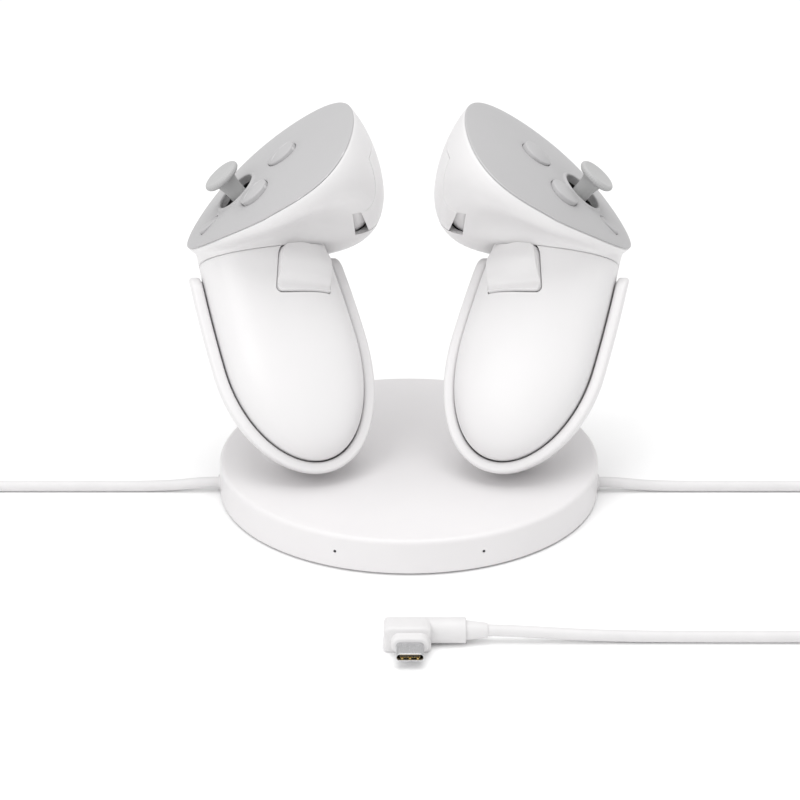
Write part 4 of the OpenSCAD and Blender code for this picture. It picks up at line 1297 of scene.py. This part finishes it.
# ----- The controllers -----
@dataclass
class FacePlate:
    """The domed grey face: a thin lip over the head's rim, rolled edges and a raised ring round the stick."""

    shape: FaceShape = FaceShape()
    lip: float = 0.5
    thick: float = 2.0
    step_in: float = 3.6
    stick_at: tuple[float, float] = (-8.6, -0.8)
    stick_hole: float = 7.0
    button_places: tuple[tuple[float, float], ...] = ((-1.2, -12.3), (10.4, 0.8))
    button_hole: float = 5.35
    menu_at: tuple[float, float] = (-21.3, -5.4)
    menu_size: tuple[float, float] = (8.3, 3.3)
    spacing: float = 1.5

    def lifted(self, flat: Points, drop: float) -> Points:
        """Lays flat points on the dome, lowered by a drop."""
        return np.column_stack([flat, self.shape.height(flat[:, 0], flat[:, 1]) - drop])

    def holes(self) -> list[tuple[Callable[[float], Points], list[tuple[float, float]]]]:
        """Gives each opening's outline, by how far it is let out, and its edge's levels."""
        def circle(at: tuple[float, float], radius: float) -> Callable[[float], Points]:
            """Gives a round opening's outline."""
            angle = np.linspace(0, 2 * math.pi, 96, endpoint=False)
            ring = np.column_stack([np.cos(angle), np.sin(angle)])
            return lambda out: np.array(at) + ring * (radius + out)

        rolled = [(0.42, 0), (0.25, 0.03), (0.1, 0.11), (0.02, 0.24), (0, 0.4), (0, self.thick)]
        raised = [(1.55, 0), (1.3, -0.04), (1.12, -0.16), (1.03, -0.32), (0.95, -0.47), (0.8, -0.57),
                  (0.6, -0.6), (0.4, -0.59), (0.22, -0.53), (0.08, -0.4), (0.01, -0.22), (0, 0),
                  (0, self.thick)]
        found = [(circle(self.stick_at, self.stick_hole), raised)]
        found += [(circle(at, self.button_hole), rolled) for at in self.button_places]
        oval = drawn_oval(*self.menu_size)
        found.append((lambda out: np.array(self.menu_at) + oval(-out), rolled))
        return found

    def sheet(self, outer: Points, holes: list[Points], drop: float) -> Form:
        """Covers the area inside an outline and outside the holes.

        Args:
            outer: the outline.
            holes: the holes' outlines.
            drop: how far under the dome it lies.

        Returns:
            The sheet in the face's frame.
        """
        loops = [outer, *holes]
        low, high = outer.min(0), outer.max(0)
        axes = [np.arange(low[k], high[k], self.spacing) for k in (0, 1)]
        spots = np.array([[x, y] for y in axes[1] for x in axes[0]])
        near = np.min([np.linalg.norm(spots[:, None] - loop[None], axis=2).min(1) for loop in loops], axis=0)
        spots = spots[near > 0.7 * self.spacing]
        points, edges = [], []
        for loop in loops:
            start, count = len(points), len(loop)
            points += loop.tolist()
            edges += [(start + k, start + (k + 1) % count) for k in range(count)]
        points += spots.tolist()
        found, _, faces, *_ = delaunay_2d_cdt([Vector(p) for p in points], edges, [], 0, 1e-5)
        flat = np.array([[v.x, v.y] for v in found])
        kept = [tuple(f) for f in faces if self.inside(flat[list(f)].mean(0), outer)
                and not any(self.inside(flat[list(f)].mean(0), hole) for hole in holes)]
        return Form(self.lifted(flat, drop), kept)

    @staticmethod
    def inside(spot: Points, loop: Points) -> bool:
        """Tells whether a spot lies inside an outline."""
        x, y = spot
        a, b = loop, np.roll(loop, -1, axis=0)
        crossing = (a[:, 1] > y) != (b[:, 1] > y)
        with np.errstate(divide="ignore", invalid="ignore"):
            at = a[:, 0] + (y - a[:, 1]) * (b[:, 0] - a[:, 0]) / (b[:, 1] - a[:, 1])
        return bool((crossing & (at > x)).sum() % 2)

    def form(self) -> Form:
        """Builds the closed plate in the row frame."""
        rim = [(0.42, 0), (0.25, 0.02), (0.1, 0.08), (0.02, 0.18), (0, 0.3), (0.02, self.lip - 0.05),
               (0.08, self.lip), (self.step_in - 0.2, self.lip), (self.step_in, self.lip + 0.2),
               (self.step_in, self.thick)]
        holes = self.holes()
        edge = Form.grid(np.array([self.lifted(self.shape.outline(inset, 240), drop) for inset, drop in rim]),
                         around=True)
        parts = [edge]
        for outline, levels in holes:
            rows = np.array([self.lifted(outline(out), drop) for out, drop in levels])
            parts.append(Form.grid(rows, around=True))
        parts.append(self.sheet(self.shape.outline(rim[0][0], 240), [o(lv[0][0]) for o, lv in holes], 0))
        under = self.sheet(self.shape.outline(self.step_in, 240), [o(0) for o, _ in holes], self.thick)
        return parts[0].joined(*parts[1:], under).placed(FACE)


@dataclass
class Controls:
    """The stick, two round buttons and an oval one."""

    face: FaceShape = FaceShape()
    stick_at: tuple[float, float] = (-8.6, -0.8)
    pivot_z: float = -3.8
    stick_rise: float = 7.2
    cap: float = 6.4
    lower_at: tuple[float, float] = (-1.2, -12.3)
    upper_at: tuple[float, float] = (10.4, 0.8)
    menu_at: tuple[float, float] = (-21.3, -5.4)
    button_radius: float = 5.2
    button_rise: float = 1.8
    plate: float = 2.0
    plunger_z: float = -6.3

    def at(self, spot: tuple[float, float], z: float = 0.0) -> Place:
        """Gives the frame at a spot of the face."""
        return FACE.then([*spot, z])

    def stick(self) -> Form:
        """Builds the thumbstick: ball, neck, and a dished cap with a finely notched rim."""
        z = float(self.face.height(*np.array(self.stick_at))) + self.stick_rise - self.pivot_z
        c = self.cap
        ball = [(3.5 * math.sin(t), -3.5 * math.cos(t)) for t in np.linspace(0, 0.69 * math.pi, 22)]
        neck = rounded([ball[-1] + (0,), (2.9, z - 5, 1.5), (3.65, z - 1.5, 0.4), (c - 0.8, z - 1.3, 0.3),
                        (c, z - 0.55, 0.5), (c, z + 0.4, 0.5), (c - 0.75, z + 1, 0.5),
                        (c - 1.7, z + 0.78, 0.4), (2.4, z + 0.52, 1.5), (0, z + 0.5, 0)], 7)
        form = revolve(ball + neck[1:], 192)
        radius = np.hypot(form.points[:, 0], form.points[:, 1])
        angle = np.arctan2(form.points[:, 1], form.points[:, 0])
        level = form.points[:, 2]
        share = smooth_step((radius - c + 0.55) / 0.4) * smooth_step((level - z + 0.7) / 0.4)
        notch = 0.16 * share * (0.5 - 0.5 * np.cos(48 * angle)) ** 2
        form.points[:, :2] *= (1 - notch / np.maximum(radius, 1))[:, None]
        return form.placed(self.at(self.stick_at, self.pivot_z))

    def button(self, spot: tuple[float, float]) -> Form:
        """Builds a round button with a domed top, its flange and its stem."""
        r = self.button_radius
        dome = float(self.face.height(*np.array(spot)))
        top, rise = dome - self.plate - 1.3, dome + self.button_rise
        shoulder = rise - 14 + math.sqrt(14 ** 2 - r * r)
        corners = [(0, self.plunger_z, 0), (1.5, self.plunger_z, 0.2), (1.5, top - 1.1, 0.1),
                   (r + 0.9, top - 1.1, 0.2), (r + 0.9, top, 0.2), (r, top, 0.1), (r, shoulder, 0.75)]
        crown = [(r * share, rise - 14 + math.sqrt(14 ** 2 - (r * share) ** 2), 0)
                 for share in (0.86, 0.7, 0.5, 0.3, 0.15, 0)]
        return revolve(rounded(corners + crown, 7), 96).placed(self.at(spot))

    def menu(self) -> Form:
        """Builds the oval button with a rounded crown, its flange and its stem."""
        dome = float(self.face.height(*np.array(self.menu_at)))
        top, rise = dome - self.plate - 1.3, dome + 0.5
        levels = [(-0.9, top - 1.1), (-0.9, top - 0.1), (-0.8, top), (0, top), (0, rise - 0.75),
                  (0.05, rise - 0.5), (0.2, rise - 0.26), (0.45, rise - 0.1), (0.8, rise - 0.02), (1.2, rise)]
        crown = stacked(drawn_oval(8, 3), levels)
        stem = revolve([(0, self.plunger_z), (1, self.plunger_z), (1, top - 1), (0, top - 1)], 32)
        return crown.joined(stem.placed(Place.of([3.0, 0, 0]))).placed(self.at(self.menu_at))

    def build(self, side: Side) -> None:
        """Makes one hand's controls."""
        word = side.value
        for name, form, finish, body in (
                ("thumbstick", self.stick(), Finish.stick_grey, "thumbstick"),
                ("button_lower", self.button(self.lower_at), Finish.face_grey, "button_lower"),
                ("button_upper", self.button(self.upper_at), Finish.face_grey, "button_upper"),
                ("menu_button", self.menu(), Finish.face_grey, "menu_button")):
            thing = form.mirrored(side).mesh(f"{name}_cap_{word}")
            mount(smooth(thing, 40), finish, f"{body}_{word}", f"{name}_{word}")


@dataclass
class Controller:
    """One hand controller: head, handle halves, face, triggers and controls."""

    handle: HandleShape = HandleShape()
    head: HeadShape = HeadShape()
    wall: float = 1.8
    gap: float = 0.4
    top: float = 68.9
    part_z: float = -1.0
    press: float = 9.0
    index_reach: float = 26.0
    index_width: float = 22.0
    index_back: float = 1.5
    grip_reach: float = 14.0
    grip_width: float = 17.0
    grip_back: float = 2.0
    grip_top: float = 2.2
    ear: float = 1.4
    index_skin: float = 2.0
    lap: float = 5.0
    lap_gap: float = 0.4
    lap_over: float = 0.625
    pin_bore: float = 0.85
    barrel: float = 2.0
    crease: float = 42
    roll: float = 0.3

    def index_zone(self, grow: float, turn: float = 0.0) -> Form:
        """Gives the index trigger's zone, let out by a gap and turned about its hinge."""
        form = wedge(self.index_reach + grow, self.index_width + 2 * grow, self.index_back + grow,
                     self.index_back + grow)
        return form.placed(INDEX.then([0, 0, 0], turn_about("y", turn)))

    def grip_zone(self, grow: float) -> Form:
        """Gives the grip trigger's zone, let out by a gap."""
        form = wedge(self.grip_reach + grow, self.grip_width + 2 * grow, self.grip_back + grow,
                     self.grip_top + grow)
        zone = Form(form.points[:, [1, 2, 0]], form.faces).mesh("zone")
        half, low, high = self.grip_width / 2 + grow, -self.grip_reach - grow, self.grip_top + grow
        corners = [(0, low, 0), (half, low, 2.5), (half, high, 5), (-half, high, 5), (-half, low, 2.5),
                   (-0.1, low, 0)]
        outline = np.array(rounded(corners, 9))
        rows = np.array([[[x, y, z] for x, y in outline] for z in (-30, 60)])
        carve(zone, "INTERSECT", Form.grid(rows, around=True, caps=True))
        return Form.taken(zone).placed(GRIP)

    def head_shell(self, side: Side) -> bpy.types.Object:
        """Builds the head with rolled rims and the opening for the index trigger."""
        rows = self.head.rings(0)
        rim, drop = self.head.face.ring, self.head.seam_drop
        count = rows.shape[1]
        foot = HANDLE.out(self.handle.ring(self.handle.height, 1.0, -self.roll, count))
        rows[0] += HANDLE.turn[:, 1] * self.roll
        rows[-1] = rim(0, drop + 0.3, count)
        rows = np.concatenate([foot[None], rows, rim(0.09, drop + 0.07, count)[None],
                               rim(0.3, drop, count)[None]])
        thing = Form.grid(rows, around=True, caps=True).mirrored(side).mesh(f"head_moulding_{side.value}")
        cuts = (self.head.solid(self.wall), self.index_zone(self.gap), self.index_zone(self.gap, self.press))
        carve(thing, "DIFFERENCE", *(cut.mirrored(side) for cut in cuts))
        return smooth(thing, self.crease)

    def index_trigger(self, side: Side) -> bpy.types.Object:
        """Builds the index trigger: a hollow piece of the head's own skin with a hinge barrel."""
        thing = self.head.solid(0).mirrored(side).mesh(f"index_moulding_{side.value}")
        half = self.index_width / 2 - self.ear
        slab = block((-60, -half, -60), (60, half, 60)).placed(INDEX)
        hollow = self.head.solid(self.index_skin).mirrored(side).mesh("hollow")
        carve(hollow, "INTERSECT", slab.mirrored(side))
        carve(thing, "INTERSECT", self.index_zone(0).mirrored(side))
        carve(thing, "DIFFERENCE", Form.taken(hollow))
        soften(thing, 0.35, 50)
        hinge = INDEX.then([0, 0, 0], turn_about("x", 90))
        half = self.index_width / 2 - self.ear / 2
        for outer, reach, over in ((self.wall + self.lap_gap, self.lap, self.lap_over),
                                   (self.index_skin / 2, 0.0, 0.0)):
            layer = self.head.solid(outer).mirrored(side).mesh("lap")
            carve(layer, "DIFFERENCE", self.head.solid(self.wall + self.lap_gap + 1).mirrored(side))
            radius = self.index_reach + over
            disc = revolve([(0, -half), (radius, -half), (radius, half), (0, half)], 96)
            cutter = disc.placed(hinge).mirrored(side).mesh("cutter")
            behind = block((-self.index_back - reach, -60, -60), (0.3, 60, -4)).placed(INDEX)
            carve(cutter, "INTERSECT", behind.mirrored(side))
            carve(layer, "INTERSECT", Form.taken(cutter))
            self.absorb(thing, layer)
        self.absorb(thing, self.hinge_barrel(6, hinge).mirrored(side).mesh("barrel"))
        return smooth(thing, self.crease)

    def grip_rows(self, grow: float, count: int = 150) -> Points:
        """Gives rings of the handle's skin swollen into the grip trigger's lobe and scoop."""
        rows = []
        for y in np.linspace(44, 69, 60):
            ring = self.handle.ring(float(y), 1.0, 1.2, count)
            down = -GRIP.back(HANDLE.out(ring))[:, 1] / self.grip_reach
            lobe = 1.15 * np.exp(-((down - 0.22) / 0.30) ** 2)
            scoop = 0.95 * np.exp(-((down - 0.78) / 0.13) ** 2)
            rows.append(self.handle.ring(float(y), 1.0, 1.15 + lobe - scoop + grow, count))
        return np.array(rows)

    def grip_trigger(self, side: Side) -> bpy.types.Object:
        """Builds the grip trigger: a hollow lobe over a scoop, with a hinge barrel."""
        outer = Form.grid(self.grip_rows(0), around=True, caps=True).placed(HANDLE)
        thing = outer.mirrored(side).mesh(f"grip_moulding_{side.value}")
        carve(thing, "INTERSECT", self.grip_zone(0).mirrored(side),
              block((-60, 0, 0.5), (60, 100, 60)).placed(HANDLE).mirrored(side))
        half = self.grip_width / 2 - self.ear
        inner = self.handle.solid(-0.6, self.handle.height + 2).placed(HANDLE).mirrored(side).mesh("hollow")
        carve(inner, "INTERSECT", block((-half, -60, -60), (half, 60, 60)).placed(GRIP).mirrored(side))
        carve(thing, "DIFFERENCE", Form.taken(inner))
        soften(thing, 0.5, 50, 3)
        hinge = GRIP.then([0, 0, 0], turn_about("y", 90))
        self.absorb(thing, self.hinge_barrel(4.5, hinge).mirrored(side).mesh("barrel"))
        return smooth(thing, self.crease)

    def hinge_barrel(self, half: float, hinge: Place) -> Form:
        """Gives the bored barrel that turns on a pin, by half its length and its pin's frame."""
        bore, skin = self.pin_bore, self.barrel
        profile = [(bore, -half), (skin, -half), (skin, half), (bore, half), (bore, -half)]
        return revolve(profile, 40).placed(hinge)

    @staticmethod
    def absorb(thing: bpy.types.Object, other: bpy.types.Object) -> None:
        """Adds another object's mesh to a piece, and removes that object."""
        shape = bmesh.new()
        shape.from_mesh(thing.data)
        shape.from_mesh(other.data)
        shape.to_mesh(thing.data)
        shape.free()
        bpy.data.objects.remove(other)

    def half(self, front: bool, side: Side) -> bpy.types.Object:
        """Builds the front or the back half of the handle, with rolled edges."""
        deep = self.handle.front if front else -self.handle.back
        start = self.part_z if front else self.part_z - 0.1
        way = 1 if front else -1
        first = start + way * self.roll
        levels = [start, start + way * 0.08, first]
        if front:
            levels += [-0.35, 0.0, *self.handle.levels(0.6, deep, 34)]
        else:
            levels += list(self.handle.levels(first - 0.5, deep, 36))
        rows = np.array([self.handle.outline(z, 0, self.top, 90, (0.08, self.roll)) for z in levels])
        normal = np.cross(np.gradient(rows, axis=1), np.gradient(rows, axis=0))
        size = np.linalg.norm(normal, axis=2, keepdims=True)
        normal = np.where(size > 1e-9, normal / np.maximum(size, 1e-9), np.array([0, 0, float(way)]))
        centre = np.array([0, self.handle.round_end, 0])
        normal *= np.sign(((rows - centre) * normal).sum(2, keepdims=True))
        drawn = np.zeros(rows.shape[:2])
        drawn[0, :], drawn[1, :] = self.roll, 0.3 * self.roll
        for k, share in ((0, 1.0), (1, 0.3)):
            drawn[:, k] = np.maximum(drawn[:, k], share * self.roll)
            drawn[:, -1 - k] = np.maximum(drawn[:, -1 - k], share * self.roll)
        drawn[-1] = np.minimum(drawn[-1], drawn[-2])
        rows = rows - normal * drawn[..., None]
        word = "front" if front else "back"
        form = Form.grid(rows).placed(HANDLE).mirrored(side)
        thing = form.mesh(f"handle_{word}_moulding_{side.value}", HANDLE.out(centre) * [side.sign, 1, 1])
        step = thing.modifiers.new("wall", "SOLIDIFY")
        step.thickness, step.offset, step.use_even_offset = self.wall * MM, -1, False
        settle(thing)
        if front:
            carve(thing, "DIFFERENCE", self.grip_zone(self.gap).mirrored(side))
        return smooth(thing, self.crease)

    def build(self, side: Side) -> None:
        """Makes one controller and finishes its CAD nodes."""
        word = side.value
        body = f"controller_{word}"
        plate = FacePlate().form().mirrored(side).mesh(f"face_moulding_{word}")
        mount(smooth(plate, self.crease), Finish.face_grey, body, f"face_plate_{word}")
        mount(self.head_shell(side), Finish.white_shell, body, f"head_shell_{word}")
        mount(self.half(True, side), Finish.white_shell, body, f"handle_front_{word}")
        mount(self.half(False, side), Finish.white_shell, body, f"handle_back_{word}")
        mount(self.index_trigger(side), Finish.white_shell, f"index_trigger_{word}", f"index_trigger_{word}")
        mount(self.grip_trigger(side), Finish.white_shell, f"grip_trigger_{word}", f"grip_trigger_{word}")
        Controls().build(side)
        for node, finish in (("controller_board", Finish.board_green), ("battery", Finish.cell_sleeve),
                             ("inner_frame", Finish.frame_plastic), ("trigger_pins", Finish.steel),
                             ("stick_ring", Finish.dark_plastic), ("stick_housing", Finish.dark_plastic),
                             ("charge_contacts", Finish.gold_contact), ("haptic_motor", Finish.steel)):
            finish.dress(frame["nodes"][f"{node}_{word}"])


# ----- The studio -----
@dataclass
class Studio:
    """The camera, the floor and soft light from the upper left."""

    camera_at: tuple[float, float, float] = (-0.002908, -0.81872, 0.40525)
    camera_tilt: float = 65.462
    lens: float = 124.58
    sky: float = 0.74
    floor_half: float = 4.0
    lamps: tuple[tuple[str, tuple[float, float, float], float, float], ...] = (
        ("key_light", (-0.8, -1.1, 0.9), 0.8, 5.3), ("top_light", (0, -0.15, 1.4), 1.1, 10))

    def camera(self) -> None:
        """Makes the camera."""
        data = bpy.data.cameras.new("view")
        data.lens, data.sensor_width, data.clip_start = self.lens, 36, 0.01
        thing = bpy.data.objects.new("view", data)
        thing.location, thing.rotation_euler = self.camera_at, (math.radians(self.camera_tilt), 0, 0)
        bpy.context.scene.collection.objects.link(thing)
        bpy.context.scene.camera = thing

    def lamp(self, name: str, at: Sequence[float], size: float, power: float) -> bpy.types.Object:
        """Makes a square soft light that looks at the dock.

        Args:
            name: its name.
            at: where it stands, in metres.
            size: the side of its square.
            power: its power in watts.

        Returns:
            The light.
        """
        data = bpy.data.lights.new(name, "AREA")
        data.energy, data.size = power, size
        thing = bpy.data.objects.new(name, data)
        thing.location = at
        thing.rotation_euler = (Vector((0, 0, 0.05)) - Vector(at)).to_track_quat("-Z", "Y").to_euler()
        bpy.context.scene.collection.objects.link(thing)
        return thing

    def build(self) -> None:
        """Makes the floor, the sky and the lamps."""
        scene = bpy.context.scene
        scene.view_settings.view_transform = "Standard"
        world = bpy.data.worlds.new("sky")
        world.use_nodes = True
        back = world.node_tree.nodes["Background"]
        back.inputs["Color"].default_value = (1, 1, 1, 1)
        back.inputs["Strength"].default_value = self.sky
        scene.world = world
        reach = np.linspace(-self.floor_half, self.floor_half, 9)
        rows = np.array([[[x * 1000, y * 1000, 0] for x in reach] for y in reach])
        floor = Form.grid(rows).mesh("floor_sheet", np.array([0, 0, -1000.0]))
        floor.data.materials.append(Paper().material())
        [self.lamp(*lamp) for lamp in self.lamps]


def main() -> None:
    """Builds everything in order."""
    logging.basicConfig(level=logging.INFO, format="%(message)s")
    studio = Studio()
    studio.camera()
    Leads().build()
    Base().build()
    Cradle().build()
    for side in Side:
        Controller().build(side)
    studio.build()


if __name__ == "__main__":
    main()
